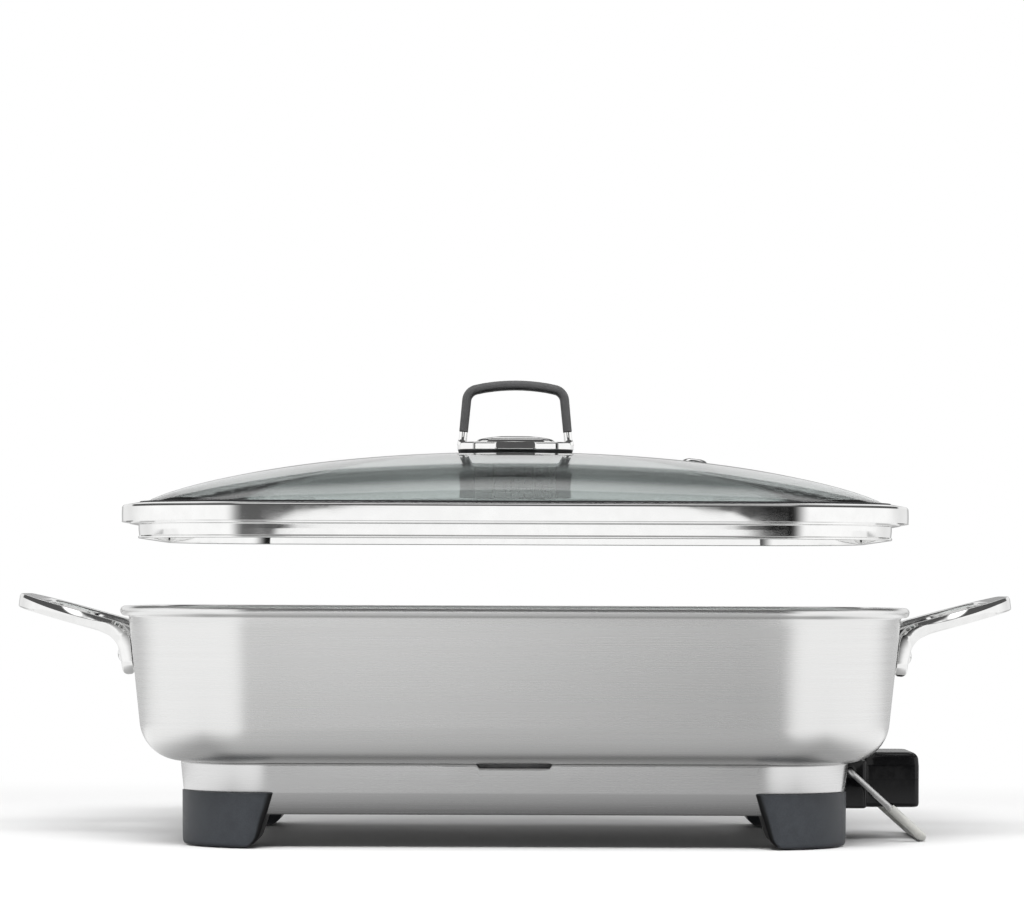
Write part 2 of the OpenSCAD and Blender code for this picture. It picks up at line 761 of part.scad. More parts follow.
function dome_point(rho, angle) =
    let (e = [dome_x * cos(angle), dome_y * sin(angle)],
         q = edge_point(dome_x, dome_y, dome_r, e / norm(e)),
         w = rho * rho)
    rho * (e * (1 - w) + q * w);

// The flat edge outside the dome, held in the rim's channel
function flange_point(out, angle) =
    let (e = [dome_x * cos(angle), dome_y * sin(angle)])
    edge_point(dome_x + out, dome_y + out, dome_r + out, e / norm(e));

module glass_body() {
    around = 96;
    rings = 10;
    edge_out = channel_r - seal_t - dome_r - 2 * seal_gap;
    // outer face from the top outwards, then the inner face back to the top
    outer = concat([for (i = [1 : rings]) [i / rings, 0, glass_top_z - dome_drop(i / rings)]],
                   [[1, glass_step, glass_edge_z], [1, edge_out, glass_edge_z]]);
    inner = [for (i = [len(outer) - 1 : -1 : 0]) [outer[i][0], outer[i][1], outer[i][2] - glass_t]];
    levels = concat(outer, inner);
    last = len(levels) - 1;
    points = concat([for (lv = levels, j = [0 : around - 1])
                         let (a = 360 * j / around,
                              p = lv[1] > 0 ? flange_point(lv[1], a) : dome_point(lv[0], a))
                         [p[0], p[1], lv[2]]],
                    [[0, 0, glass_top_z], [0, 0, glass_top_z - glass_t]]);
    top = len(levels) * around;
    sides = [for (i = [0 : last - 1], j = [0 : around - 1])
                 let (k = (j + 1) % around, p = i * around, q = p + around)
                 each [[p + j, q + j, q + k], [p + j, q + k, p + k]]];
    caps = [for (j = [0 : around - 1])
                let (k = (j + 1) % around, p = last * around)
                each [[top, j, k], [top + 1, p + k, p + j]]];
    // faces run clockwise seen from outside
    polyhedron(points, [for (f = concat(sides, caps)) [f[0], f[2], f[1]]]);
}

// The vent stands square to the glass where it sits
module at_vent() {
    rho = vent_x / dome_x;
    step = 0.01;
    slope = (dome_drop(rho + step) - dome_drop(rho - step)) / (2 * step * dome_x);
    translate([vent_x, 0, glass_top_z - dome_drop(rho)]) rotate([0, atan(slope), 0]) children();
}

vent_barrel_d = vent_d / 2;

module lid_glass() {
    color([0.62, 0.66, 0.64, 0.5]) difference() {
        glass_body();
        for (s = [-1, 1]) translate([s * grip_screw_x, 0, backing_z])
            cylinder(d = screw_d + 2 * glass_hole_gap, h = glass_t + backing_t + eps);
        at_vent() translate([0, 0, -glass_t - eps])
            cylinder(d = vent_barrel_d + 2 * hole_gap, h = glass_t + 2 * eps);
    }
}

module vent_eyelet() {
    collar = 1.6;
    below = glass_t + 0.4;
    color(chrome) at_vent() difference() {
        union() {
            translate([0, 0, 0.25]) cylinder(d1 = vent_d, d2 = vent_d - 3, h = collar);
            translate([0, 0, -below]) cylinder(d = vent_barrel_d, h = below + 0.5);
            translate([0, 0, -below - collar]) cylinder(d = vent_d - 3, h = collar);
        }
        translate([0, 0, -below - 2 * collar]) cylinder(d = vent_bore, h = below + 4 * collar);
    }
}

// Lid handle
module at_grip_screws() {
    for (s = [-1, 1]) translate([s * grip_screw_x, 0, 0]) children();
}

module grip_foot_plan(inset, h) {
    r = grip_foot_wid / 2 - 2;
    round_plate(grip_foot_len / 2 - r - inset, 2 - inset, r, h);
}

module lid_handle_gasket() {
    color("black") difference() {
        translate([0, 0, gasket_z]) grip_foot_plan(0.4, gasket_t);
        at_grip_screws() cylinder(d = screw_d + 2 * hole_gap, h = foot_top_z);
    }
}

// The arch seen from the front, drawn in by inset
module arch_outline(inset) {
    half = arch_w / 2 - inset;
    top = arch_top_z - inset;
    r = arch_r - inset;
    intersection() {
        translate([0, top - crown_r + inset]) circle(r = crown_r - inset, $fn = 200);
        union() {
            translate([-half, foot_z]) square([2 * half, top - r - foot_z]);
            translate([r - half, foot_z]) square([2 * (half - r), top - foot_z]);
            for (s = [-1, 1]) translate([s * (half - r), top - r]) circle(r = r);
        }
    }
}

module arch_band(outer, inner, depth) {
    translate([0, depth / 2, 0]) rotate([90, 0, 0]) linear_extrude(depth) difference() {
        arch_outline(outer);
        arch_outline(inner);
    }
}

// The part of the arch above or below the end of its bare legs
module above_legs() {
    translate([-arch_w, -arch_depth, grip_z]) cube([2 * arch_w, 2 * arch_depth, arch_h]);
}

strap_inset = (arch_t - strap_t) / 2;

module lid_handle_base() {
    color(chrome) difference() {
        union() {
            translate([0, 0, foot_z]) grip_foot_plan(0, grip_foot_h);
            difference() {
                arch_band(0, arch_t, arch_depth);
                above_legs();
            }
            arch_band(strap_inset, arch_t - strap_inset, strap_w);
        }
        at_grip_screws() cylinder(d = screw_d + 2 * run_gap, h = foot_top_z - 0.8);
    }
}

module lid_handle_grip() {
    play = 0.1;
    color(grey_plastic) difference() {
        intersection() {
            arch_band(0, arch_t, arch_depth);
            above_legs();
        }
        arch_band(strap_inset - play, arch_t - strap_inset + play, strap_w + 2 * play);
    }
}

module lid_handle_cap() {
    r = (cap_len * cap_len / 4 + cap_h * cap_h) / (2 * cap_h);
    color(chrome) intersection() {
        translate([0, cap_wid / 2, foot_top_z + cap_h - r]) rotate([90, 0, 0])
            cylinder(r = r, h = cap_wid, $fn = 200);
        translate([-cap_len / 2, -cap_wid / 2, foot_top_z]) cube([cap_len, cap_wid, cap_h]);
    }
}

module lid_handle_plate() {
    thick = 1;
    color("dimgray") translate([-plate_l / 2, -grip_foot_wid / 2 - thick, foot_z])
        cube([plate_l, thick, grip_foot_h]);
}

module lid_handle_backing() {
    wid = 16;
    color(steel) difference() {
        translate([-grip_screw_x - wid / 2, -wid / 2, backing_z])
            cube([2 * grip_screw_x + wid, wid, backing_t]);
        at_grip_screws() cylinder(d = screw_d + 2 * hole_gap, h = foot_top_z);
    }
}

module lid_handle_screws() {
    color("silver") at_grip_screws() translate([0, 0, backing_z])
        screw(screw_d, foot_top_z - 1.2 - backing_z);
}

// Control probe: a body split level into two shells, with a nose that plugs into the socket
module probe_block(z0, z1) {
    translate([socket_reach + slide_gap, -probe_wid / 2, z0])
        cube([probe_len + hood_len - slide_gap, probe_wid, z1 - z0]);
}

module probe_hollow() {
    w = probe_wall;
    translate([socket_reach + slide_gap + w, -probe_wid / 2 + w, probe_bottom_z + w])
        cube([probe_len - slide_gap - 2 * w, probe_wid - 2 * w, probe_top_z - probe_bottom_z - 2 * w]);
}

probe_boss_d = 6.4;
probe_screw_d = 2.8;
probe_screw_head_d = 4.8;
probe_screw_head_h = 1.6;
probe_screw_bite = 7;
lens_step = 0.4;
boss_inset = probe_wall / 2 + probe_boss_d / 2;
boss_x = probe_end_x - boss_inset;
boss_y = probe_wid / 2 - boss_inset;
gland_back = 2;
gland_x = socket_reach + probe_len / 2 - gland_back;
gland_wall = 1.5;
gland_d = gland_bore + 2 * gland_wall;
lens_d = 5;
lens_inset = 9;
lens_x = socket_reach + probe_len / 2;
lens_y = lens_inset - probe_wid / 2;

// What is cut out of both shells: the nose's window, the shaft, the dial, the gland, the lens, the screws
module probe_openings() {
    translate([socket_reach, -nose_wid / 2, nose_z]) cube([probe_wall + slide_gap, nose_wid, nose_h]);
    translate([0, 0, split_z])
        rod_x(probe_end_x - probe_wall - eps, probe_end_x + eps, shaft_d + 2 * run_gap);
    translate([0, 0, split_z]) rod_x(probe_end_x, probe_end_x + hood_len + eps, dial_d + 4 * slide_gap);
    translate([gland_x, 0, split_z]) rotate([-90, 0, 0])
        cylinder(d = gland_d + 2 * hole_gap, h = probe_wid);
    translate([lens_x, lens_y, split_z]) cylinder(d = lens_d, h = probe_top_z);
    translate([boss_x, 0, 0]) pair_y(boss_y) {
        cylinder(d = probe_screw_d + 2 * hole_gap, h = split_z);
        cylinder(d = probe_screw_d, h = split_z + probe_screw_bite);
        cylinder(d = probe_screw_head_d + hole_gap, h = probe_bottom_z + probe_wall);
    }
}

module probe_bosses(z0, z1) {
    translate([boss_x, 0, z0]) pair_y(boss_y) cylinder(d = probe_boss_d, h = z1 - z0);
}

module probe_shell_top() {
    color(black_plastic) difference() {
        union() {
            difference() {
                probe_block(split_z, probe_top_z);
                probe_hollow();
            }
            probe_bosses(split_z, probe_top_z - probe_wall);
        }
        probe_openings();
    }
}

module probe_shell_bottom() {
    color(black_plastic) difference() {
        union() {
            difference() {
                probe_block(probe_bottom_z, split_z);
                probe_hollow();
            }
            probe_bosses(probe_bottom_z + probe_wall, split_z);
        }
        probe_openings();
    }
}

contact_d = terminal_d + 1.6;

module probe_nose() {
    color(black_plastic) difference() {
        translate([nose_x, -nose_wid / 2, nose_z])
            cube([nose_len + slide_gap + probe_wall, nose_wid, nose_h]);
        translate([0, 0, terminal_z]) pair_y(terminal_y) rod_x(0, pan_len, contact_d);
        translate([0, 0, rod_z]) rod_x(0, pan_len, rod_d);
    }
}

module probe_contacts() {
    end_x = socket_reach + slide_gap + probe_wall;
    color("goldenrod") translate([0, 0, terminal_z]) pair_y(terminal_y) difference() {
        rod_x(nose_x, end_x, contact_d);
        rod_x(0, end_x - contact_floor, terminal_d + 2 * run_gap);
    }
}

contact_floor = 1;
thermostat_len = 8;
thermostat_x = socket_reach + slide_gap + probe_wall;

module probe_rod() {
    color("silver") translate([0, 0, rod_z]) rod_x(rod_tip_x, thermostat_x, rod_d);
}

module thermostat() {
    floor_z = probe_bottom_z + probe_wall;
    half = 13;
    color("tan") translate([thermostat_x, -half, floor_z])
        cube([thermostat_len, 2 * half, probe_top_z - probe_wall - floor_z]);
}

module indicator_lens() {
    color("orange") translate([lens_x, lens_y, probe_top_z - probe_wall - lens_step])
        cylinder(d = lens_d, h = probe_wall + lens_step);
}

module neon_lamp() {
    length = 9;
    color("mistyrose") translate([lens_x, lens_y, probe_top_z - probe_wall - lens_step - length])
        cylinder(d = lens_d - lens_step, h = length);
}

module cord_gland() {
    flange_d = gland_d + 2 * gland_wall;
    flange_t = 2.2;
    wall_y = probe_wid / 2;
    color("black") translate([gland_x, 0, split_z]) rotate([-90, 0, 0]) difference() {
        union() {
            translate([0, 0, wall_y - probe_wall - flange_t])
                cylinder(d = gland_d, h = probe_wall + 2 * flange_t);
            translate([0, 0, wall_y + run_gap]) cylinder(d = flange_d, h = flange_t);
            translate([0, 0, wall_y - probe_wall - run_gap - flange_t]) cylinder(d = flange_d, h = flange_t);
        }
        cylinder(d = gland_bore, h = probe_wid);
    }
}

module probe_screws() {
    head_z = probe_bottom_z + probe_wall;
    color("silver") translate([boss_x, 0, head_z]) pair_y(boss_y) {
        cylinder(d = probe_screw_d, h = split_z + probe_screw_bite - end_gap - head_z);
        translate([0, 0, -probe_screw_head_h]) cylinder(d = probe_screw_head_d, h = probe_screw_head_h);
    }
}

// Dial, flush in the hood: two hollows for the fingertips leave a bar across its face
module dial() {
    bar_w = 5;
    edge = 1.6;
    floor_t = 0.8;
    color(black_plastic) translate([probe_end_x + slide_gap, 0, split_z]) rotate([0, 90, 0]) difference() {
        cylinder(d = dial_d, h = dial_t, $fn = 96);
        difference() {
            translate([0, 0, floor_t]) cylinder(d = dial_d - 2 * edge, h = dial_t, $fn = 96);
            translate([-dial_d / 2, -bar_w / 2, 0]) cube([dial_d, bar_w, dial_t + eps]);
        }
    }
}

module dial_shaft() {
    color("silver") translate([0, 0, split_z])
        rod_x(thermostat_x + thermostat_len + slide_gap, probe_end_x + slide_gap, shaft_d);
}

// Tilt leg: drawn flat with x along the leg, then swung down on its pivot
module at_tilt() {
    translate([pivot_x, 0, pivot_z]) rotate([0, tilt_angle, 0]) children();
}

wire_elbow_r = 3.5;
bar_elbow_r = 9;

// One side of the leg's bend and half its bar, as a tube
module tilt_bend(d, inner) {
    half = tilt_span / 2;
    translate([tilt_len - bar_elbow_r, half - bar_elbow_r, 0]) rotate_extrude(angle = 90)
        translate([bar_elbow_r, 0]) tube_ring(d, inner);
    translate([tilt_len, 0, 0]) rotate([-90, 0, 0]) linear_extrude(half - bar_elbow_r) tube_ring(d, inner);
}

module tube_ring(d, inner) {
    difference() {
        circle(d = d);
        if (inner > 0) circle(d = inner);
    }
}

module tilt_leg_wire() {
    half = tilt_span / 2;
    pin_end = socket_wid / 2 - pivot_depth + end_gap;
    color(chrome) at_tilt() for (s = [0, 1]) mirror([0, s, 0]) {
        tilt_bend(wire_d, 0);
        translate([0, half, 0]) rod_x(wire_elbow_r, tilt_len - bar_elbow_r, wire_d);
        quarter_bend(wire_elbow_r, half - wire_elbow_r, wire_elbow_r, 90, wire_d);
        translate([0, pin_end, 0]) rotate([-90, 0, 0])
            cylinder(d = wire_d, h = half - wire_elbow_r - pin_end);
    }
}

module tilt_leg_sleeve() {
    half = tilt_span / 2;
    bore = wire_d + 2 * run_gap;
    color([0.75, 0.75, 0.73]) at_tilt() for (s = [0, 1]) mirror([0, s, 0]) {
        tilt_bend(sleeve_d, bore);
        translate([bare_len, half, 0]) rotate([0, 90, 0])
            linear_extrude(tilt_len - bar_elbow_r - bare_len) tube_ring(sleeve_d, bore);
    }
}

pan_shell();
heat_plate();
heating_element();
terminal_pins();
probe_guide_tube();
base_skirt();
bottom_cover();
base_studs();
cover_screws();
socket_housing();
socket_screws();
foot_front_left();
foot_front_right();
foot_rear_left();
foot_rear_right();
foot_pads();
foot_screws();
foot_nuts();
handle_left();
handle_right();
handle_spacers();
handle_rivets();
lid_rim();
lid_glass();
lid_seal();
vent_eyelet();
lid_handle_gasket();
lid_handle_base();
lid_handle_grip();
lid_handle_cap();
lid_handle_plate();
lid_handle_backing();
lid_handle_screws();
probe_shell_top();
probe_shell_bottom();
probe_nose();
probe_rod();
probe_contacts();
thermostat();
indicator_lens();
neon_lamp();
cord_gland();
probe_screws();
dial();
dial_shaft();
tilt_leg_wire();
tilt_leg_sleeve();
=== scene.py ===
"""Looks for the electric skillet: detailed pieces, materials, studio and camera.

Shapes are written in millimetres in the CAD frame (+Z up, the front faces -Y) and scaled to metres
when a mesh is made.
"""

from math import acos, asin, atan, ceil, copysign, cos, degrees, dist, pi, radians, sin, sqrt, tan

import bmesh
import bpy
from mathutils import Matrix, Vector


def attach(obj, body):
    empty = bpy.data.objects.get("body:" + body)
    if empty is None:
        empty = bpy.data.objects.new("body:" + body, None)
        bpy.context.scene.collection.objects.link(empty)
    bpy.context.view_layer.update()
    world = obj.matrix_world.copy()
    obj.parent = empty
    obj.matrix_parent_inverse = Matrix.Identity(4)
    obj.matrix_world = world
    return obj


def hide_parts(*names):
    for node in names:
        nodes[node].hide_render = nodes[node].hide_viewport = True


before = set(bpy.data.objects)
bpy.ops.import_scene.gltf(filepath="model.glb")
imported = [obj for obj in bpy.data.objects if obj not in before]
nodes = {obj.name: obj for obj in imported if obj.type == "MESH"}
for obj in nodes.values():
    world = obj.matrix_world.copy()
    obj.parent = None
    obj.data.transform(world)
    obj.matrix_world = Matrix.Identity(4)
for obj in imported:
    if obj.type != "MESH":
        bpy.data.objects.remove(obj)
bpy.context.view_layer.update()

MM = 0.001

# Pan: PAN_CORNER is where the plan's corner arcs have their centres
PAN_CORNER = (134.0, 86.0)
STAND_Z = 44.0
PAN_H = 80.6
RIM_R = 72.0
RIM_H = 5.2
WALL_TOP_R = 67.6
WALL_T = 2.5
FLOOR_R = 22.0
DRAFT = radians(6)

# Base
BASE_CORNER = (125.0, 77.0)
BASE_R = 50.0
BEND_R = 48.4
TUCK_R = 40.9
BEND_Z = 28.8
SKIRT_Z = 17.3
SKIRT_T = 1.2
FOOT_LEN = 49.5
FOOT_TAPER = 9.0
FOOT_SIDE = 0.65
FOOT_FRONT = 3.3

# Side handles
HANDLE_END = 267.0
HANDLE_HALF = 58.0
HANDLE_BAR = 13.0
HANDLE_T = 7.3
HANDLE_SLOPE = radians(15.3)
HANDLE_BEND = 8.0
HANDLE_TIP = 38.0
HANDLE_GAP = 2.0
HANDLE_BEND_H = 59.7
RIVET_H = 55.5

# Lid
LID_CORNER = (138.0, 90.0)
SEAT_Z = 167.0
LID_R = 67.0
LIP_R = 57.8
LIP_Z = SEAT_Z + 11.5
DOME_R = 56.6
DOME = (LID_CORNER[0] + DOME_R, LID_CORNER[1] + DOME_R)
GLASS_T = 4.0
GLASS_RISE = 30.6
GLASS_FULL = 0.97
GLASS_TOP = LIP_Z - 1 + GLASS_RISE
GLASS_EDGE = LIP_Z - 1.8
VENT_X = 97.5

# Lid handle
FOOT_Z = GLASS_TOP + 1.25
FOOT_TOP = FOOT_Z + 4.3
GRIP_END_Z = FOOT_Z + 9.6
ARCH_TOP = FOOT_Z + 37.6

# Control probe and tilt leg
SOCKET_X = 188.0
SOCKET_HALF = 43.0
PROBE_END = 214.0
HOOD_END = 217.2
PROBE_HALF = 28.0
PROBE_TOP = 47.2
PROBE_BOTTOM = 17.6
SPLIT_Z = 32.4
DIAL_R = 12.0
DIAL_X = PROBE_END + 0.3
PIVOT = (178.6, 0.0, 37.5)
LEG_LEN = 52.5
LEG_HALF = 46.0
WIRE_R = 1.7
SLEEVE_R = 2.4
LEG_ANGLE = asin((PIVOT[2] - SLEEVE_R) / LEG_LEN)


# Outlines

def arc(centre, r, a0, a1, n):
    """Points of an arc from angle a0 to angle a1, in degrees."""
    angles = [radians(a0 + (a1 - a0) * i / n) for i in range(n + 1)]
    return [(centre[0] + r * cos(a), centre[1] + r * sin(a)) for a in angles]


def filleted(points, radii, n, closed=True):
    """An outline with its corners rounded; a radius of 0 keeps a corner."""
    out = []
    count = len(points)
    for i, (point, r) in enumerate(zip(points, radii)):
        at_end = not closed and i in (0, count - 1)
        if r <= 0 or at_end:
            out.append(tuple(point))
            continue
        p = Vector(point)
        to_last = (Vector(points[i - 1]) - p).normalized()
        to_next = (Vector(points[(i + 1) % count]) - p).normalized()
        half = to_last.angle(to_next) / 2
        centre = p + (to_last + to_next).normalized() * (r / sin(half))
        start = p + to_last * (r / tan(half)) - centre
        end = p + to_next * (r / tan(half)) - centre
        for k in range(n + 1):
            out.append(tuple(centre + start.lerp(end, k / n).normalized() * r))
    return out


def rounded_end(d, r):
    """The share of its full size that a rounded end has at a distance d from the end."""
    return sqrt(max(0.0, 1 - (1 - min(d / r, 1)) ** 2))


def between(a, b, t):
    """The point a share t of the way from a to b."""
    return tuple(p + (q - p) * t for p, q in zip(a, b))


def round_rect(a, b, r, n):
    """A rounded rectangle with half sizes a and b."""
    return filleted([(-a, -b), (a, -b), (a, b), (-a, b)], [r] * 4, n)


CORNER_SIGNS = ((1, -1), (1, 1), (-1, 1), (-1, -1))


def round_path(centre, corner_n=28, side_n=10, extra_front=()):
    """Places round a rounded rectangle: a point on the corners' centre line and the way out from it.

    extra_front adds places on the front side, given by their x.
    """
    cx, cy = centre
    path = []
    for turn in range(4):
        sx, sy = CORNER_SIGNS[turn]
        nx, ny = CORNER_SIGNS[(turn + 1) % 4]
        start = 90 * turn - 90
        for i in range(corner_n + 1):
            a = radians(start + 90 * i / corner_n)
            path.append((sx * cx, sy * cy, cos(a), sin(a)))
        a = radians(start + 90)
        out = (cos(a), sin(a))
        steps = [i / side_n for i in range(1, side_n)]
        if turn == 3:
            steps = sorted(steps + [(x + cx) / (2 * cx) for x in extra_front])
        for t in steps:
            path.append(((sx + (nx - sx) * t) * cx, (sy + (ny - sy) * t) * cy, *out))
    return path


def scaled(outline, sx, sy):
    """An outline drawn in or out from its middle."""
    return [(x * sx, y * sy) for x, y in outline]


# Mesh makers: each gives a bmesh in millimetres

def clean(bm):
    """Joins points that meet, closes holes and turns faces outwards."""
    bmesh.ops.remove_doubles(bm, verts=bm.verts, dist=1e-4)
    open_edges = [e for e in bm.edges if e.is_boundary]
    if open_edges:
        filled = bmesh.ops.holes_fill(bm, edges=open_edges)["faces"]
        uv = bm.loops.layers.uv.verify()
        for face in filled:
            for loop in face.loops:
                loop[uv].uv = (loop.vert.co.x * MM, loop.vert.co.y * MM)
    bmesh.ops.recalc_face_normals(bm, faces=bm.faces)
    return bm


def lengths(points):
    """The distance along a line of points, at each of them, in metres."""
    total = [0.0]
    for a, b in zip(points, points[1:]):
        total.append(total[-1] + (Vector(b) - Vector(a)).length * MM)
    return total


def skin(rows, closed_u, closed_v):
    """A surface through rows of points; its UV map is in metres, with v along a row."""
    bm = bmesh.new()
    uv = bm.loops.layers.uv.new("UVMap")
    verts = [[bm.verts.new(p) for p in row] for row in rows]
    count_u = len(rows)
    count_v = len(rows[0])
    middle = [max(row, key=lambda p: p[0] ** 2 + p[1] ** 2) for row in rows]
    us = lengths(middle + middle[:1])
    vs = lengths(rows[0] + rows[0][:1])
    for i in range(count_u if closed_u else count_u - 1):
        k = (i + 1) % count_u
        for j in range(count_v if closed_v else count_v - 1):
            m = (j + 1) % count_v
            face = bm.faces.new((verts[i][j], verts[k][j], verts[k][m], verts[i][m]))
            corners = ((us[i], vs[j]), (us[i + 1], vs[j]), (us[i + 1], vs[j + 1]), (us[i], vs[j + 1]))
            for loop, value in zip(face.loops, corners):
                loop[uv].uv = value
    return clean(bm)


def sweep(path, profile, closed=True):
    """Sweeps a profile of (distance, height) round a path; profile may be a function of the place."""
    rows = []
    for x, y, dx, dy in path:
        line = profile(x, y, dx, dy) if callable(profile) else profile
        rows.append([(x + dx * r, y + dy * r, z) for r, z in line])
    return skin(rows, True, closed)


def along(points, ups, section, scales=None):
    """Sweeps a section of (side, up) along 3-D points; ups gives which way is up at each.

    The section may be a function of the point's number.
    """
    rows = []
    end = len(points) - 1
    for i, p in enumerate(points):
        forward = (Vector(points[min(i + 1, end)]) - Vector(points[max(i - 1, 0)])).normalized()
        side = forward.cross(Vector(ups[i])).normalized()
        up = side.cross(forward)
        sa, sb = scales[i] if scales else (1, 1)
        outline = section(i) if callable(section) else section
        rows.append([tuple(Vector(p) + side * (a * sa) + up * (b * sb)) for a, b in outline])
    return skin(rows, False, True)


def lathe(profile, n):
    """Turns a profile of (radius, height) about Z."""
    rows = []
    for i in range(n):
        a = 2 * pi * i / n
        rows.append([(r * cos(a), r * sin(a), z) for r, z in profile])
    return skin(rows, True, False)


def loft(layers):
    """A solid through flat outlines, given as (outline, z) from the bottom up."""
    return skin([[(x, y, z) for x, y in outline] for outline, z in layers], False, True)


def rounded_block(rows, n=4):
    """A solid through rounded rectangles, given as (half length, half width, corner radius, z)."""
    return loft([(round_rect(a, b, r, n), z) for a, b, r, z in rows])


def moved(bm, matrix):
    """The bmesh, put where matrix says."""
    bmesh.ops.transform(bm, matrix=matrix, verts=bm.verts)
    if matrix.determinant() < 0:
        bmesh.ops.reverse_faces(bm, faces=bm.faces)
    return bm


def joined(parts):
    """One bmesh from several."""
    out = bmesh.new()
    for part in parts:
        mesh = bpy.data.meshes.new("part")
        part.to_mesh(mesh)
        part.free()
        out.from_mesh(mesh)
        bpy.data.meshes.remove(mesh)
    return out


def copied(bm, matrix):
    """A copy of the bmesh, put where matrix says."""
    return moved(bm.copy(), matrix)


def copies(bm, places):
    """One bmesh with a copy at every place."""
    return joined([copied(bm, place) for place in places])


def at(x, y, z):
    """A move, in millimetres."""
    return Matrix.Translation((x, y, z))


def turned(angle, axis):
    """A turn about an axis, in degrees."""
    return Matrix.Rotation(radians(angle), 4, axis)


MIRROR_X = Matrix.Scale(-1, 4, (1, 0, 0))
MIRROR_Y = Matrix.Scale(-1, 4, (0, 1, 0))
FACE_DOWN = turned(180, "X")


def in_scene(name, data):
    """A new object with this data, linked to the scene."""
    obj = bpy.data.objects.new(name, data)
    bpy.context.scene.collection.objects.link(obj)
    return obj


def to_object(name, bm, sharp=35):
    """A mesh object in metres, smooth except at edges sharper than the angle."""
    bmesh.ops.scale(bm, vec=(MM, MM, MM), verts=bm.verts)
    mesh = bpy.data.meshes.new(name)
    bm.to_mesh(mesh)
    bm.free()
    mesh.shade_smooth()
    mesh.set_sharp_from_angle(angle=radians(sharp))
    return in_scene(name, mesh)


def final_mesh(obj):
    """The object's finished mesh as a bmesh; the object is removed."""
    bpy.context.view_layer.update()
    bm = bmesh.new()
    bm.from_mesh(obj.evaluated_get(bpy.context.evaluated_depsgraph_get()).to_mesh())
    bpy.data.objects.remove(obj)
    return bm


def piece(name, bm, material, body, stands_for=(), sharp=35, bevel=0.0):
    """Makes a piece of the object, which rides on a body and stands for some CAD nodes."""
    obj = to_object(name, bm, sharp)
    obj.data.materials.append(material)
    if bevel:
        soften = obj.modifiers.new("soft_edges", "BEVEL")
        soften.width = bevel * MM
        soften.segments = 3
        soften.limit_method = "ANGLE"
        soften.angle_limit = radians(30)
        soften.harden_normals = True
    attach(obj, body)
    if stands_for:
        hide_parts(*stands_for)


def cut(bm, cutter):
    """The bmesh with another one taken out of it."""
    base = to_object("cut_base", bm)
    tool = to_object("cut_tool", cutter)
    less = base.modifiers.new("less", "BOOLEAN")
    less.operation = "DIFFERENCE"
    less.solver = "EXACT"
    less.object = tool
    out = final_mesh(base)
    bpy.data.objects.remove(tool)
    bmesh.ops.scale(out, vec=(1 / MM, 1 / MM, 1 / MM), verts=out.verts)
    return out


# Materials

SURFACE = "Principled BSDF"
OUTPUT = "Material Output"


def shader(name, slot=None, **sockets):
    """A node material with one Principled shader, its constant values set on its sockets."""
    material = bpy.data.materials.new(name)
    material.use_nodes = True
    bsdf = material.node_tree.nodes[SURFACE]
    for key, value in sockets.items():
        socket = bsdf.inputs[key.replace("_", " ")]
        socket.default_value = (*value, 1) if isinstance(value, tuple) else value
    return material


class Graph:
    """Adds nodes to a node tree; most methods give the new node's output."""

    def __init__(self, tree):
        self.tree = tree

    def node(self, kind, inputs=None, **settings):
        made = self.tree.nodes.new(kind)
        for key, value in settings.items():
            setattr(made, key, value)
        for key, value in (inputs or {}).items():
            if isinstance(value, bpy.types.NodeSocket):
                self.tree.links.new(value, made.inputs[key])
            else:
                made.inputs[key].default_value = value
        return made

    def feed(self, node, key, value):
        self.tree.links.new(value, self.tree.nodes[node].inputs[key])

    def coords(self, kind):
        return self.node("ShaderNodeTexCoord").outputs[kind]

    def axes(self, vector):
        return self.node("ShaderNodeSeparateXYZ", {0: vector}).outputs

    def math(self, operation, a, b=0.0):
        return self.node("ShaderNodeMath", {0: a, 1: b}, operation=operation).outputs[0]

    def plus(self, a, b):
        return self.math("ADD", a, b)

    def minus(self, a, b):
        return self.math("SUBTRACT", a, b)

    def times(self, a, b):
        return self.math("MULTIPLY", a, b)

    def ramp(self, value, low, high, to_low=0.0, to_high=1.0, smooth=True):
        kind = "SMOOTHSTEP" if smooth else "LINEAR"
        inputs = {0: value, 1: low, 2: high, 3: to_low, 4: to_high}
        return self.node("ShaderNodeMapRange", inputs, interpolation_type=kind).outputs[0]

    def blend(self, t, a, b):
        return self.ramp(t, 0, 1, a, b, False)

    def noise(self, coords, scale, detail, roughness=0.6, stretch=(1, 1, 1)):
        mapped = self.node("ShaderNodeMapping", {"Vector": coords, "Scale": stretch}).outputs[0]
        inputs = {"Vector": mapped, "Scale": scale, "Detail": detail, "Roughness": roughness}
        return self.node("ShaderNodeTexNoise", inputs).outputs["Fac"]

    def mix(self, fac, a, b):
        # Inputs 6 and 7 and output 2 are the node's colours
        return self.node("ShaderNodeMix", {0: fac, 6: a, 7: b}, data_type="RGBA").outputs[2]


def textured(material, scale, colours, rough, bump, depth, coords="Object", stretch=(1, 1, 1), detail=5):
    """One noise drives the material's colour, roughness and relief, depth millimetres deep."""
    g = Graph(material.node_tree)
    source = g.coords(coords)
    fine = g.noise(source, scale, detail, 0.6, stretch)
    # A wider noise laid over the fine one keeps the grain from looking even
    wide = g.noise(source, scale * 0.13, 3.0, 0.5, stretch)
    tone = g.ramp(g.plus(fine, g.times(wide, 0.6)), 0.55, 1.05)
    dark, light = colours
    g.feed(SURFACE, "Base Color", g.mix(tone, (*dark, 1), (*light, 1)))
    g.feed(SURFACE, "Roughness", g.blend(tone, *rough))
    relief = g.node("ShaderNodeBump", {"Strength": bump, "Distance": depth * MM, "Height": fine})
    g.feed(SURFACE, "Normal", relief.outputs[0])
    return material


def grained(name, scale, dark, light, rough, bump, depth, **sockets):
    """A material with the same fine grain in every direction."""
    return textured(shader(name, **sockets), scale, (dark, light), rough, bump, depth)


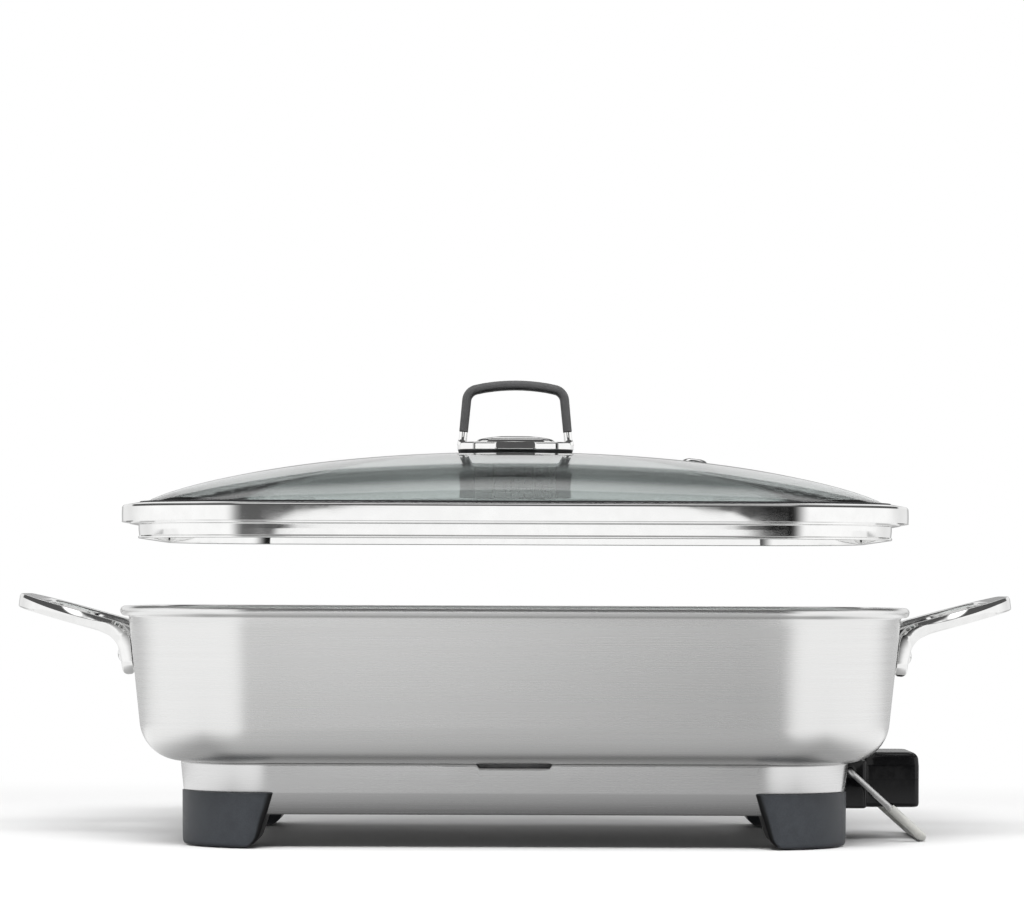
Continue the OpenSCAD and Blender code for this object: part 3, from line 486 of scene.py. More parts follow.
def metal(name, *grain):
    """A metal with the same fine grain in every direction."""
    return grained(name, *grain, Metallic=1.0)


def dim_inner_faces(material):
    """Darkens faces that look in towards the middle, where little light comes."""
    g = Graph(material.node_tree)
    x = g.axes(g.coords("Object"))[0]
    facing = g.axes(g.coords("Normal"))[0]
    outward = g.times(facing, g.math("SIGN", x))
    shade = g.ramp(outward, -0.5, -0.2, 0.06, 1.0)
    plain = g.tree.nodes[SURFACE].inputs["Base Color"].links[0].from_socket
    g.feed(SURFACE, "Base Color", g.mix(shade, (0.001, 0.001, 0.001, 1), plain))


BRUSH_LINES = (9, 2600, 1)


def brushed(name, dark, light, rough, anisotropy, slot=None):
    """Steel brushed along its UV map's u: fine lines, and reflections drawn out across them."""
    material = shader(name, slot, Metallic=1.0, Anisotropic=anisotropy, Anisotropic_Rotation=0.25)
    textured(material, 1.0, (dark, light), rough, 0.03, 0.04, "UV", BRUSH_LINES, 6.0)
    g = Graph(material.node_tree)
    tangent = g.node("ShaderNodeTangent", direction_type="UV_MAP", uv_map="UVMap")
    g.feed(SURFACE, "Tangent", tangent.outputs[0])
    return material


def tinted_glass(name, rough, tint, density, base=(1, 1, 1)):
    """Clear glass whose colour comes from its thickness."""
    material = shader(name, Transmission_Weight=1.0, IOR=1.5, Base_Color=base)
    g = Graph(material.node_tree)
    haze = g.noise(g.coords("Object"), 30.0, 3.0)
    g.feed(SURFACE, "Roughness", g.ramp(haze, 0.45, 0.75, *rough))
    volume = g.node("ShaderNodeVolumeAbsorption", {"Color": (*tint, 1), "Density": density})
    g.feed(OUTPUT, "Volume", volume.outputs[0])
    return material


STEEL = brushed("brushed_steel", (0.765, 0.765, 0.76), (0.80, 0.80, 0.795), (0.26, 0.30), 0.75)
# The base, its cover and louvres use the pan's brushed steel painted darker: painted shade on the low
# parts
SHADED_BASE_STEEL = brushed("shaded_base_steel", (0.70, 0.70, 0.70), (0.74, 0.74, 0.74), (0.24, 0.28), 0.7,
                     "brushed_steel")
POLISHED = metal("polished_steel", 90.0, (0.80, 0.80, 0.795), (0.86, 0.86, 0.855), (0.035, 0.075), 0.03,
                 0.02)
CAST = metal("cast_steel", 160.0, (0.78, 0.78, 0.775), (0.84, 0.84, 0.835), (0.05, 0.09), 0.02, 0.02)
FASTENER = metal("fastener_steel", 300.0, (0.52, 0.52, 0.52), (0.64, 0.64, 0.64), (0.22, 0.34), 0.08,
                 0.03)
ALUMINIUM = metal("plate_aluminium", 220.0, (0.62, 0.62, 0.63), (0.74, 0.74, 0.75), (0.38, 0.5), 0.2,
                  0.1)
SHEATH = metal("element_sheath", 120.0, (0.20, 0.19, 0.18), (0.34, 0.31, 0.28), (0.4, 0.55), 0.15, 0.06)
BRASS = metal("contact_brass", 200.0, (0.70, 0.52, 0.24), (0.82, 0.66, 0.34), (0.2, 0.32), 0.08, 0.03)
GLASS = tinted_glass("lid_glass", (0.0, 0.012), (0.50, 0.58, 0.57), 30.0, (0.80, 0.84, 0.83))
LAMP = tinted_glass("lamp_glass", (0.0, 0.02), (0.95, 0.8, 0.7), 60.0)
AMBER = tinted_glass("amber_lens", (0.04, 0.1), (0.95, 0.35, 0.03), 420.0)
GRIP = grained("grip_silicone", 900.0, (0.066, 0.066, 0.067), (0.084, 0.084, 0.085), (0.52, 0.66), 0.12,
               0.08, Specular_IOR_Level=0.35)
RUBBER = grained("black_rubber", 700.0, (0.012, 0.012, 0.013), (0.024, 0.024, 0.025), (0.5, 0.65), 0.2,
                 0.08, Specular_IOR_Level=0.4)
SLEEVE = grained("sleeve_rubber", 500.0, (0.42, 0.42, 0.40), (0.52, 0.52, 0.49), (0.45, 0.6), 0.2, 0.08)
GREY = grained("grey_plastic", 1400.0, (0.030, 0.033, 0.038), (0.040, 0.044, 0.050), (0.38, 0.5), 0.18,
               0.06, Specular_IOR_Level=0.25)
dim_inner_faces(GREY)
BLACK = grained("black_plastic", 420.0, (0.003, 0.003, 0.0035), (0.005, 0.005, 0.0055), (0.08, 0.13),
                0.03, 0.03, Specular_IOR_Level=0.3)
SWITCH = grained("switch_body", 500.0, (0.42, 0.33, 0.22), (0.55, 0.45, 0.32), (0.45, 0.6), 0.15, 0.06)
INK = grained("dial_ink", 700.0, (0.74, 0.74, 0.72), (0.82, 0.82, 0.80), (0.45, 0.55), 0.05, 0.02,
              slot="black_plastic")


# Pan

def wall_r(h):
    """The outer wall's distance from the corner centres, h above the pan's underside."""
    return WALL_TOP_R - (PAN_H - RIM_H - h) * tan(DRAFT)


def pan_profile():
    """The pan's section from under its middle, over the rim, to the middle of its floor."""
    nose = RIM_H / 2
    foot = wall_r(FLOOR_R) - FLOOR_R / cos(DRAFT)
    inner_top = wall_r(PAN_H) - WALL_T / cos(DRAFT)
    draft = degrees(DRAFT)
    wall_h = PAN_H - RIM_H
    below = wall_h - 6
    rim_fillet = 0.9
    lip_fillet = 2.2
    rim = [(wall_r(below), below), (WALL_TOP_R, wall_h), (RIM_R - nose, wall_h)]
    lip = [(RIM_R - nose, PAN_H), (inner_top - 0.6, PAN_H), (inner_top - 1.6, PAN_H - 9)]
    line = [(0, 0)]
    line += arc((foot, FLOOR_R), FLOOR_R, -90, -draft, 22)
    line += filleted(rim, [0, rim_fillet, 0], 5, False)
    line += arc((RIM_R - nose, PAN_H - nose), nose, -90, 90, 16)[1:-1]
    line += filleted(lip, [0, lip_fillet, 0], 7, False)
    line += arc((foot, FLOOR_R), FLOOR_R - WALL_T, -draft, -90, 18)
    line += [(0, WALL_T)]
    return [(r, z + STAND_Z) for r, z in line]


def wall_frame(h, side):
    """The end wall at height h: where it is, with Z pointing out of it."""
    out = at(PAN_CORNER[0] + wall_r(h), 0, STAND_Z + h) @ turned(90 + degrees(DRAFT), "Y")
    return out if side > 0 else MIRROR_X @ out


def rivet():
    """A rivet's two heads and shank, standing on the pan's outer wall."""
    stack = HANDLE_GAP + HANDLE_T
    dome = [(0, 1.9), (1.2, 1.82), (2.3, 1.5), (3.2, 0.95), (3.8, 0.4), (4.0, 0)]
    upper = [(r, stack + h) for r, h in dome]
    lower = [(r, -WALL_T - h) for r, h in reversed(dome)]
    return lathe(upper + [(2.5, stack), (2.5, -WALL_T)] + lower, 32)


def build_pan():
    piece("pan", sweep(round_path(PAN_CORNER), pan_profile(), False), STEEL, "skillet", ["pan_shell"])
    y = HANDLE_HALF - HANDLE_BAR / 2
    places = [wall_frame(RIVET_H, side) @ at(0, s * y, 0) for side in (-1, 1) for s in (-1, 1)]
    piece("rivets", copies(rivet(), places), CAST, "skillet", ["handle_rivets"])


# Side handles

# Rows along half a loop: distances of the lug's rows from its end, then the steps of the bend
LUG_ROWS = (0.05, 0.5, 1.2, 2.2, 3.4, 4.8, HANDLE_BAR / 2, 9.0, 12.0)
BEND_STEPS = 12
BEND_FIRST = len(LUG_ROWS)
BEND_LAST = BEND_FIRST + BEND_STEPS
LUG_LEN = 15.2
LUG_EDGE_R = 2.4


def handle_path():
    """The handle's middle line from lug to lug, with up directions and section scales."""
    r = HANDLE_BEND + HANDLE_T / 2
    reach = HANDLE_GAP + HANDLE_T + HANDLE_BEND
    cx = PAN_CORNER[0] + wall_r(HANDLE_BEND_H) + cos(DRAFT) * reach
    cz = STAND_Z + HANDLE_BEND_H - sin(DRAFT) * reach
    y = HANDLE_HALF - HANDLE_BAR / 2
    centre = Vector((cx, y, cz))
    a0 = pi - DRAFT
    a1 = pi / 2 + HANDLE_SLOPE
    rows = []
    up = Vector((cos(a0), 0, sin(a0)))
    down = Vector((-sin(DRAFT), 0, -cos(DRAFT)))
    for d in LUG_ROWS:
        scale = (max(rounded_end(d, HANDLE_BAR / 2), 0.12), max(rounded_end(d, LUG_EDGE_R), 0.3))
        rows.append((centre + up * r + down * (LUG_LEN - d), up, scale))
    for i in range(BEND_STEPS + 1):
        a = a0 + (a1 - a0) * i / BEND_STEPS
        up = Vector((cos(a), 0, sin(a)))
        rows.append((centre + up * r, up, (1, 1)))
    start = rows[-1][0]
    tip_x = HANDLE_END - HANDLE_TIP
    tip_r = HANDLE_TIP - HANDLE_BAR / 2
    plan = [(start.x + (tip_x - start.x) * i / 8, y) for i in range(1, 8)]
    plan += arc((tip_x, HANDLE_HALF - HANDLE_TIP), tip_r, 90, 0, 22)
    up = Vector((-sin(HANDLE_SLOPE), 0, cos(HANDLE_SLOPE)))
    for px, py in plan:
        rows.append((Vector((px, py, start.z + (px - start.x) * tan(HANDLE_SLOPE))), up, (1, 1)))
    rows += [(Vector((p.x, -p.y, p.z)), up, scale) for p, up, scale in reversed(rows)]
    return zip(*rows)


def handle_section(place, web, trim):
    """The bar's section: its outer side leans in at the bottom and has a slanted facet along its top.

    place goes from 0 at the bend to 1 at the tip and is -1 on a lug; web thickens the underside near
    the bend and trim takes a lug back from the wall.
    """
    half = HANDLE_BAR / 2
    top = HANDLE_T / 2 - trim
    low = -HANDLE_T / 2 - web
    facet = 0.5
    if place >= 0:
        facet += 2.6 * sin(pi * (0.15 + 0.85 * place))
    slant = radians(58 - 40 * max(place, 0))
    facet_end = facet * tan(slant) - half
    outline = [(half, low), (0.8 - half, low), (-half, top - facet), (facet_end, top), (half, top)]
    return filleted(outline, [1.6, 1.0, 0.25, 0.35, 1.8], 4)


def build_handles():
    points, ups, scales = handle_path()
    start_x = points[BEND_LAST].x
    middle = (points[BEND_FIRST] + points[BEND_LAST]) / 2
    web_reach = 13.0
    web_t = 1.7
    trim_rows = 8

    def section(i):
        p = points[i]
        i = min(i, len(points) - 1 - i)
        on_lug = i < (BEND_FIRST + BEND_LAST) / 2
        place = -1 if on_lug else max(0.0, (p.x - start_x) / (HANDLE_END - start_x))
        away = dist((p.x, p.z), (middle.x, middle.z)) / web_reach
        web = web_t * (1 - away * away) ** 2 if away < 1 else 0.0
        trim = min(1.0, max(0.0, 1.0 - (i - BEND_FIRST) / trim_rows))
        return handle_section(place, web, trim)
    loop = along(points, ups, section, scales)
    piece("handle_loop_left", copied(loop, MIRROR_X), CAST, "skillet", ["handle_left"], sharp=28)
    piece("handle_loop_right", loop, CAST, "skillet", ["handle_right"], sharp=28)


# Base

NOTCH_HALF = 18.0
NOTCH_SLANT = 1.6
NOTCH_H = 2.0


def skirt_profile(x, y, dx, dy):
    """The skirt's folded sheet, lower where the front edge is notched."""
    top = STAND_Z
    if dy < -0.999:
        top -= NOTCH_H * min(max((NOTCH_HALF + NOTCH_SLANT - abs(x)) / NOTCH_SLANT, 0), 1)
    t = SKIRT_T
    flange = 8.0
    outline = [(TUCK_R - flange, SKIRT_Z), (TUCK_R, SKIRT_Z), (BEND_R, BEND_Z), (BASE_R, top),
               (BASE_R - flange, top), (BASE_R - flange, top - t), (BASE_R - t, top - t),
               (BEND_R - t, BEND_Z), (TUCK_R - t, SKIRT_Z + t), (TUCK_R - flange, SKIRT_Z + t)]
    radii = [0.3, 1.6, 2.0, 1.4, 0.3, 0.3, 0.3, 0.8, 0.5, 0.3]
    return filleted(outline, radii, 5)


def foot_rows():
    """Heights of a foot's rows and, at each, how far its sides draw in at the bottom edges."""
    bottom = 0.6
    edge_r = 1.6
    inner_r = 6.0
    block = [bottom, 0.75, 1.1, 1.6, 2.2, 3.2, 4.4, 6.0, 9.0, SKIRT_Z]
    strip = [20.0, 24.0, 27.6, 28.5]
    rows = []
    for z in block + strip:
        up = z - bottom
        outer = edge_r * (1 - rounded_end(up, edge_r))
        inner = inner_r * (1 - rounded_end(up, inner_r))
        rows.append((z, outer, inner, z > SKIRT_Z))
    return rows


def foot_line(rx, ry, in_x, in_y, end_w, end_d):
    """A foot's line in plan, round the base's corner, with rounded ends at in_x and in_y."""
    cx, cy = BASE_CORNER
    from_x = in_x + end_w
    from_y = in_y + end_w
    a0 = pi / 2 if from_x <= cx else acos((from_x - cx) / rx)
    a1 = 0.0 if from_y <= cy else asin((from_y - cy) / ry)
    angles = [a0 + (a1 - a0) * i / 20 for i in range(21)]
    body = [(cx + rx * cos(t), cy + ry * sin(t)) for t in angles]
    if from_x < cx:
        body[0] = (from_x, cy + ry)
    if from_y < cy:
        body[-1] = (cx + rx, from_y)
    side_d = min(end_d, rx - BEND_R)
    quarter = [(1 - sin(t), 1 - cos(t)) for t in (radians(15 * i) for i in range(6))]
    first = [(in_x + end_w * s, body[0][1] - end_d * c) for s, c in reversed(quarter)]
    last = [(body[-1][0] - side_d * c, in_y + end_w * s) for s, c in quarter]
    start = (in_x, body[0][1] - end_d)
    end = (last[-1][0] - 0.05, in_y)
    return [start] + first[:-1] + body + last[1:] + [end]


def foot():
    """The rear right foot: a corner block that wraps the skirt's tucked-in edge."""
    out_x = BASE_CORNER[0] + BEND_R
    out_y = BASE_CORNER[1] + BEND_R
    tuck = (BEND_R - TUCK_R) / (BEND_Z - SKIRT_Z)
    bm = bmesh.new()

    def row(line, z):
        return [bm.verts.new((x, y, z)) for x, y in line]

    def band(low, high):
        for j in range(len(low) - 1):
            bm.faces.new((low[j], low[j + 1], high[j + 1], high[j]))
    outer, inner, corner = [], [], []
    for z, draw, round_in, is_strip in foot_rows():
        up = z / BEND_Z
        back = FOOT_LEN - FOOT_TAPER * (1 - up) - round_in
        in_x = out_x - back
        in_y = out_y - back
        end_w = 2.0 + 6.0 * up
        rx = BEND_R + FOOT_SIDE - draw
        ry = BEND_R + FOOT_FRONT - draw
        outer.append(row(foot_line(rx, ry, in_x, in_y, end_w, FOOT_FRONT - 0.3), z))
        if z >= SKIRT_Z:
            skirt_r = TUCK_R + (z - SKIRT_Z) * tuck + 0.05
            inner.append(row(foot_line(skirt_r, skirt_r, in_x, in_y, end_w, 0.0), z))
        if not is_strip:
            corner.append(bm.verts.new((in_x, in_y, z)))
    for rows in (outer, inner):
        for low, high in zip(rows, rows[1:]):
            band(low, high)
    band(outer[-1], inner[-1])
    top = len(corner) - 1
    for j in (0, -1):
        for k in range(len(inner) - 1):
            bm.faces.new((outer[top + k][j], outer[top + k + 1][j], inner[k + 1][j], inner[k][j]))
        for k in range(top):
            face = [outer[k][j], outer[k + 1][j]]
            if k == top - 1:
                face.append(inner[0][j])
            bm.faces.new(face + [corner[k + 1], corner[k]])
    bm.faces.new(inner[0] + [corner[-1]])
    bm.faces.new(outer[0] + [corner[0]])
    bmesh.ops.recalc_face_normals(bm, faces=bm.faces)
    return bm


def cross_screw(head_d, head_h):
    """A pan-head screw's head with a cross recess, its face up at head_h."""
    r = head_d / 2
    dome = [(r * a, head_h * b) for a, b in ((0, 1), (0.5, 0.97), (0.8, 0.8), (0.95, 0.5))]
    head = lathe(dome + [(r, 0.2), (r, 0), (0, 0)], 32)
    half = r * 0.62
    for angle in (0, 90):
        slot = rounded_block([(half, r * 0.13, 0.05, head_h * 0.35),
                              (half * 1.15, r * 0.17, 0.05, head_h * 1.3)], 1)
        head = cut(head, moved(slot, turned(angle, "Z")))
    return head


def screw_heads(name, size, spots, body, node):
    """Screw heads that face down, each given as (x, y, z, turn)."""
    places = [at(x, y, z) @ FACE_DOWN @ turned(turn, "Z") for x, y, z, turn in spots]
    piece(name, copies(cross_screw(*size), places), FASTENER, body, [node])


FOOT_TURNS = {"front_left": MIRROR_X @ MIRROR_Y, "front_right": MIRROR_Y,
              "rear_left": MIRROR_X, "rear_right": Matrix.Identity(4)}
PAD_X = 147.0
PAD_Y = 99.0


def build_base():
    edges = [s * (NOTCH_HALF + extra) for s in (-1, 1) for extra in (0.0, NOTCH_SLANT)]
    path = round_path(BASE_CORNER, 24, 9, edges)
    piece("skirt", sweep(path, skirt_profile), SHADED_BASE_STEEL, "skillet", ["base_skirt"])
    block = foot()
    for where, matrix in FOOT_TURNS.items():
        piece("corner_foot_" + where, copied(block, matrix), GREY, "skillet", ["foot_" + where],
              sharp=25, bevel=0.45)
    pad = [(0, 2.9), (8, 2.9), (8, 0.6), (7.4, 0), (5.6, 0), (5.2, 0.5), (3.4, 0.5), (3.0, 0), (0, 0)]
    spots = [at(sx * PAD_X, sy * PAD_Y, 0) for sx in (-1, 1) for sy in (-1, 1)]
    piece("feet_pads", copies(lathe(pad, 40), spots), RUBBER, "skillet", ["foot_pads"])
    build_cover()


LOUVRE_X = 66.0
LOUVRE_STEP = 9.0
LOUVRE_ROWS = (-34, -18, 18, 34)
COVER_SCREW_X = 122.0
COVER_SCREW_Y = 88.0


def build_cover():
    """The bottom cover with a pressed rib, louvres and a bare plate, and its screws."""
    z = SKIRT_Z + SKIRT_T
    edge = TUCK_R - SKIRT_T - 0.6
    rib = ((0, 1.2), (0, 0.3), (0.3, 0), (10, 0), (12, 0.5), (15, 0.5), (17, 0))
    rim = [(0, z + 1.2)] + [(edge - back, z + up) for back, up in rib] + [(0, z)]
    piece("cover", sweep(round_path(BASE_CORNER, 16, 4), rim, False), SHADED_BASE_STEEL, "skillet",
          ["bottom_cover"])
    blade = rounded_block([(1.3, 6, 1.2, -1.1), (1.9, 6.8, 1.7, -0.4), (2.2, 7.2, 2.0, 0.05)])
    spots = [at(sx * (LOUVRE_X + LOUVRE_STEP * i), row, z) @ turned(sx * 18, "Z")
             for sx in (-1, 1) for row in LOUVRE_ROWS for i in range(6)]
    plate = rounded_block([(44, 13, 2, -0.5), (45, 14, 3, 0.05)])
    louvres = joined([copies(blade, spots), moved(plate, at(0, 0, z))])
    piece("cover_louvres", louvres, SHADED_BASE_STEEL, "skillet")
    spots = [(sx * COVER_SCREW_X, sy * COVER_SCREW_Y, z, 20 * sx + 35 * sy)
             for sx in (-1, 1) for sy in (-1, 1)]
    screw_heads("cover_screw_heads", (7.4, 2.3), spots, "skillet", "cover_screws")


# Lid

def rim_profile():
    """The lid's steel rim: bowed band, lip over the glass, shelf under it and locating skirt."""
    skirt_r = LID_R - 8.7
    channel = LIP_R + 4
    shelf = GLASS_EDGE - GLASS_T - 0.8
    bow = arc((LID_R - 62, SEAT_Z + 4.9), 62, -3.6, 3.6, 8)
    skirt = ((-1.25, -1.8), (-1.02, -7.05), (-1, -7.5), (0.2, -7.5), (0.2, -6.5), (-0.35, -5.9),
             (0, -2.9), (0, -2.5), (0, -0.7), (0, 0))
    outline = [(LID_R - 0.9, SEAT_Z)] + bow
    outline += [(LID_R - 0.9, SEAT_Z + 9.9), (LIP_R, LIP_Z - 0.1), (LIP_R, LIP_Z - 1),
                (channel, LIP_Z - 1), (channel, shelf), (DOME_R, shelf), (DOME_R, shelf - 1),
                (skirt_r - 1.25, shelf - 1)]
    outline += [(skirt_r + out, SEAT_Z + up) for out, up in skirt]
    outline += [(channel + 1, SEAT_Z), (channel + 1, SEAT_Z + 7.2), (LID_R - 1.8, SEAT_Z + 7.2)]
    radii = [0.7] + [0] * len(bow) + [0.9, 0.3, 0.2, 0, 0, 0.2, 0.2, 0.3]
    radii += [0, 0, 0.3, 0.5, 0.3, 0.3, 0, 0, 0, 0.4] + [0.4, 0.5, 0.5]
    return filleted(outline, radii, 4)


def edge_point(half, r, direction):
    """Where a ray from the middle leaves a rounded rectangle."""
    a, b = half
    ux, uy = abs(direction[0]), abs(direction[1])
    cx, cy = a - r, b - r
    if uy * a <= cy * ux:
        p = (a, uy * a / ux)
    elif ux * b <= cx * uy:
        p = (ux * b / uy, b)
    else:
        k = ux * cx + uy * cy
        t = k + sqrt(max(0.0, k * k - cx * cx - cy * cy + r * r))
        p = (ux * t, uy * t)
    return copysign(p[0], direction[0]), copysign(p[1], direction[1])


def dome_drop(rho):
    """How far the glass lies below its top at a share of the way out."""
    def curve(s):
        return 1 - sqrt(1 - s * s)
    return GLASS_RISE * curve(GLASS_FULL * rho) / curve(GLASS_FULL)


def dome_point(rho, angle, out):
    """A point of the dome's plan: level lines go from an ellipse to the rim's rounded rectangle."""
    e = Vector((DOME[0] * cos(angle), DOME[1] * sin(angle)))
    q = Vector(edge_point((DOME[0] + out, DOME[1] + out), DOME_R + out, e.normalized()))
    w = rho * rho
    return rho * (e * (1 - w) + q * w) if not out else q


def glass_dome():
    """The lid's glass, with an outer and an inner face."""
    around = 240
    rings = 44
    levels = [(rho, 0.0, GLASS_TOP - dome_drop(rho)) for rho in (i / rings for i in range(rings + 1))]
    levels += [(1, 0.8, GLASS_EDGE), (1, 4.0, GLASS_EDGE)]
    levels += [(rho, out, z - GLASS_T) for rho, out, z in reversed(levels)]
    rows = []
    for j in range(around):
        angle = 2 * pi * j / around
        rows.append([(*dome_point(rho, angle, out), z) for rho, out, z in levels])
    return skin(rows, True, False)


def vent_frame():
    """Where the vent stands on the glass, with Z square to it."""
    rho = VENT_X / DOME[0]
    step = 0.01
    slope = (dome_drop(rho + step) - dome_drop(rho - step)) / (2 * step * DOME[0])
    return at(VENT_X, 0, GLASS_TOP - dome_drop(rho)) @ turned(degrees(atan(slope)), "Y")


def build_lid():
    path = round_path(LID_CORNER)
    piece("rim_ring", sweep(path, rim_profile()), POLISHED, "lid", ["lid_rim"], sharp=30)
    bead = [(DOME_R + 0.9, LIP_Z - 1.75), (LIP_R + 2, LIP_Z - 1.75), (LIP_R + 2, LIP_Z - 1.05),
            (LIP_R - 0.05, LIP_Z - 1.05), (LIP_R - 0.05, LIP_Z + 0.35), (DOME_R + 0.2, LIP_Z + 0.3)]
    bead = filleted(bead, [0.1, 0.1, 0.1, 0.1, 0.3, 0.2], 4)
    piece("seal_bead", sweep(path, bead), RUBBER, "lid", ["lid_seal"])
    piece("glass_dome", glass_dome(), GLASS, "lid", ["lid_glass"])
    collar = [(2.0, 1.2), (2.4, 1.75), (3.4, 1.95), (4.8, 1.75), (6.2, 1.1), (7.0, 0.35), (6.8, 0.25),
              (3.55, 0.25), (3.5, -4.4), (5.3, -4.4), (5.5, -4.7), (5.3, -5.7), (4.6, -6.0), (2.4, -6.0),
              (2.0, -5.7), (2.0, 1.2)]
    piece("vent_ring", moved(lathe(collar, 40), vent_frame()), POLISHED, "lid", ["vent_eyelet"])
    build_lid_handle()


CROWN_R = 102.0
ARCH_CORNER_X = 26.1
ARCH_CORNER_R = 6.5
ARCH_FOOT_X = 28.9


def arch_line():
    """The grip's middle line from one foot to the other, seen from the front."""
    def crown(x):
        return x, ARCH_TOP - 2.45 - x * x / (2 * CROWN_R)
    xs = (-ARCH_CORNER_X, -17, -12, -8, -4, 0, 4, 8, 12, 17, ARCH_CORNER_X)
    foot_z = FOOT_Z + 2.5
    line = [(-ARCH_FOOT_X, foot_z)] + [crown(x) for x in xs] + [(ARCH_FOOT_X, foot_z)]
    radii = [0, ARCH_CORNER_R] + [0] * (len(xs) - 2) + [ARCH_CORNER_R, 0]
    return filleted(line, radii, 8, False)


def arch_tube(line, section, scales):
    """A section swept along the arch, standing in the middle of the lid."""
    ups = []
    for i in range(len(line)):
        a = line[max(i - 1, 0)]
        b = line[min(i + 1, len(line) - 1)]
        ups.append((a[1] - b[1], 0, b[0] - a[0]))
    return along([(x, 0, z) for x, z in line], ups, section, scales)


def cut_line(line, z, above):
    """The arch above a height, or its left-hand part below it, ended exactly there."""
    out = []
    for a, b in zip(line, line[1:]):
        inside = (a[1] >= z) == above
        if inside:
            out.append(a)
        if (a[1] - z) * (b[1] - z) < 0:
            t = (z - a[1]) / (b[1] - a[1])
            out.append((a[0] + (b[0] - a[0]) * t, z))
            if not above:
                return out
    return out


HANDLE_FOOT_HALF = (31.4, 12.0)
HANDLE_SEAM_X = 20.9


def handle_foot(line):
    """The lid handle's steel foot: a rounded slab and a flared leg at each end."""
    low, *_, high = cut_line(line, GRIP_END_Z + 2, False)
    flare = ((0, 1.2, 1.3), (0.14, 1.2, 1.3), (0.24, 1.1, 1.16), (0.36, 1.02, 1.05), (0.5, 1, 1),
             (0.75, 1, 1), (1, 1, 1))
    points = [between(low, high, share) for share, _, _ in flare]
    leg = arch_tube(points, round_rect(6.6, 2.1, 1.5, 5), [scale for _, *scale in flare])
    a, b = HANDLE_FOOT_HALF
    xs = (a, HANDLE_SEAM_X, -HANDLE_SEAM_X, -a)
    corners = [(x, b) for x in xs] + [(-x, -b) for x in xs]
    plan = filleted(corners, [9.5, 0, 0, 9.5] * 2, 10)
    rows = ((0.99, 0.98, 0), (1, 1, 0.3), (1, 1, 0.5), (1, 1, 3.2), (1, 1, 3.4), (0.99, 0.975, 3.9),
            (0.965, 0.92, 4.2), (0.90, 0.8, FOOT_TOP - FOOT_Z))
    slab = loft([(scaled(plan, sx, sy), FOOT_Z + up) for sx, sy, up in rows])
    return joined([slab, copies(leg, (Matrix.Identity(4), MIRROR_X))])


def build_lid_handle():
    line = arch_line()
    grip = cut_line(line, GRIP_END_Z, True)
    grip.insert(1, (grip[0][0] + 0.04, GRIP_END_Z + 0.5))
    grip.insert(-1, (grip[-1][0] - 0.04, GRIP_END_Z + 0.5))
    end = [(0.9, 0.84), (0.97, 0.95)]
    scales = end + [(1, 1)] * (len(grip) - 4) + end[::-1]
    sleeve = arch_tube(grip, round_rect(8.0, 2.42, 2.1, 6), scales)
    piece("grip_sleeve", sleeve, GRIP, "lid", ["lid_handle_grip"])
    piece("handle_foot", handle_foot(line), POLISHED, "lid", ["lid_handle_base"], sharp=40)
    gasket = rounded_block([(30.6, 11.4, 9, GLASS_TOP - 0.6), (31.2, 11.9, 9.5, FOOT_Z - 0.3),
                            (31.0, 11.7, 9.4, FOOT_Z)], 10)
    piece("foot_gasket", gasket, RUBBER, "lid", ["lid_handle_gasket"])
    dome = [(1, 0), (1, 0.5)]
    dome += [(cos(t), 0.5 + 3.1 * sin(t)) for t in (0.25, 0.5, 0.75, 1.0, 1.2, 1.35)]
    cap_plan = round_rect(21.3, 8.8, 6.5, 8)
    cap = loft([(scaled(cap_plan, s, s), FOOT_TOP - 0.1 + h) for s, h in dome])
    piece("handle_cap", cap, POLISHED, "lid", ["lid_handle_cap"], sharp=40)
    face = round_rect(11.3, 2.0, 1.2, 5)
    edge = ((1, -0.2), (1, 0.7), (0.97, 0.95), (0.93, 1.0), (0.86, 1.0))
    plate = loft([(scaled(face, s, s), h) for s, h in edge])
    stand = at(0, -HANDLE_FOOT_HALF[1], FOOT_Z + 2.15) @ turned(81, "X")
    piece("foot_plate", moved(plate, stand), POLISHED, "lid", ["lid_handle_plate"])
    screw_x = 14.0
    screw_z = GLASS_TOP - GLASS_T - 1.8
    spots = [(s * screw_x, 0, screw_z, 25 * s) for s in (-1, 1)]
    screw_heads("lid_screw_heads", (7.4, 2.3), spots, "lid", "lid_handle_screws")


# Control probe

def probe_layer(inset_end, inset_side, r, z):
    """A level outline of the probe's body, drawn in at its end and sides."""
    x0 = SOCKET_X + 0.35
    x1 = HOOD_END - inset_end
    y = PROBE_HALF - inset_side
    half = [(x0, -y), (x0 + 2, -y), (x1 - 6, -y), (x1, -y), (x1, 6 - y)]
    radii = [0.6, 0, 0, r, 0]
    other = [(px, -py) for px, py in reversed(half)]
    return filleted(half + other, radii + radii[::-1], 6), z


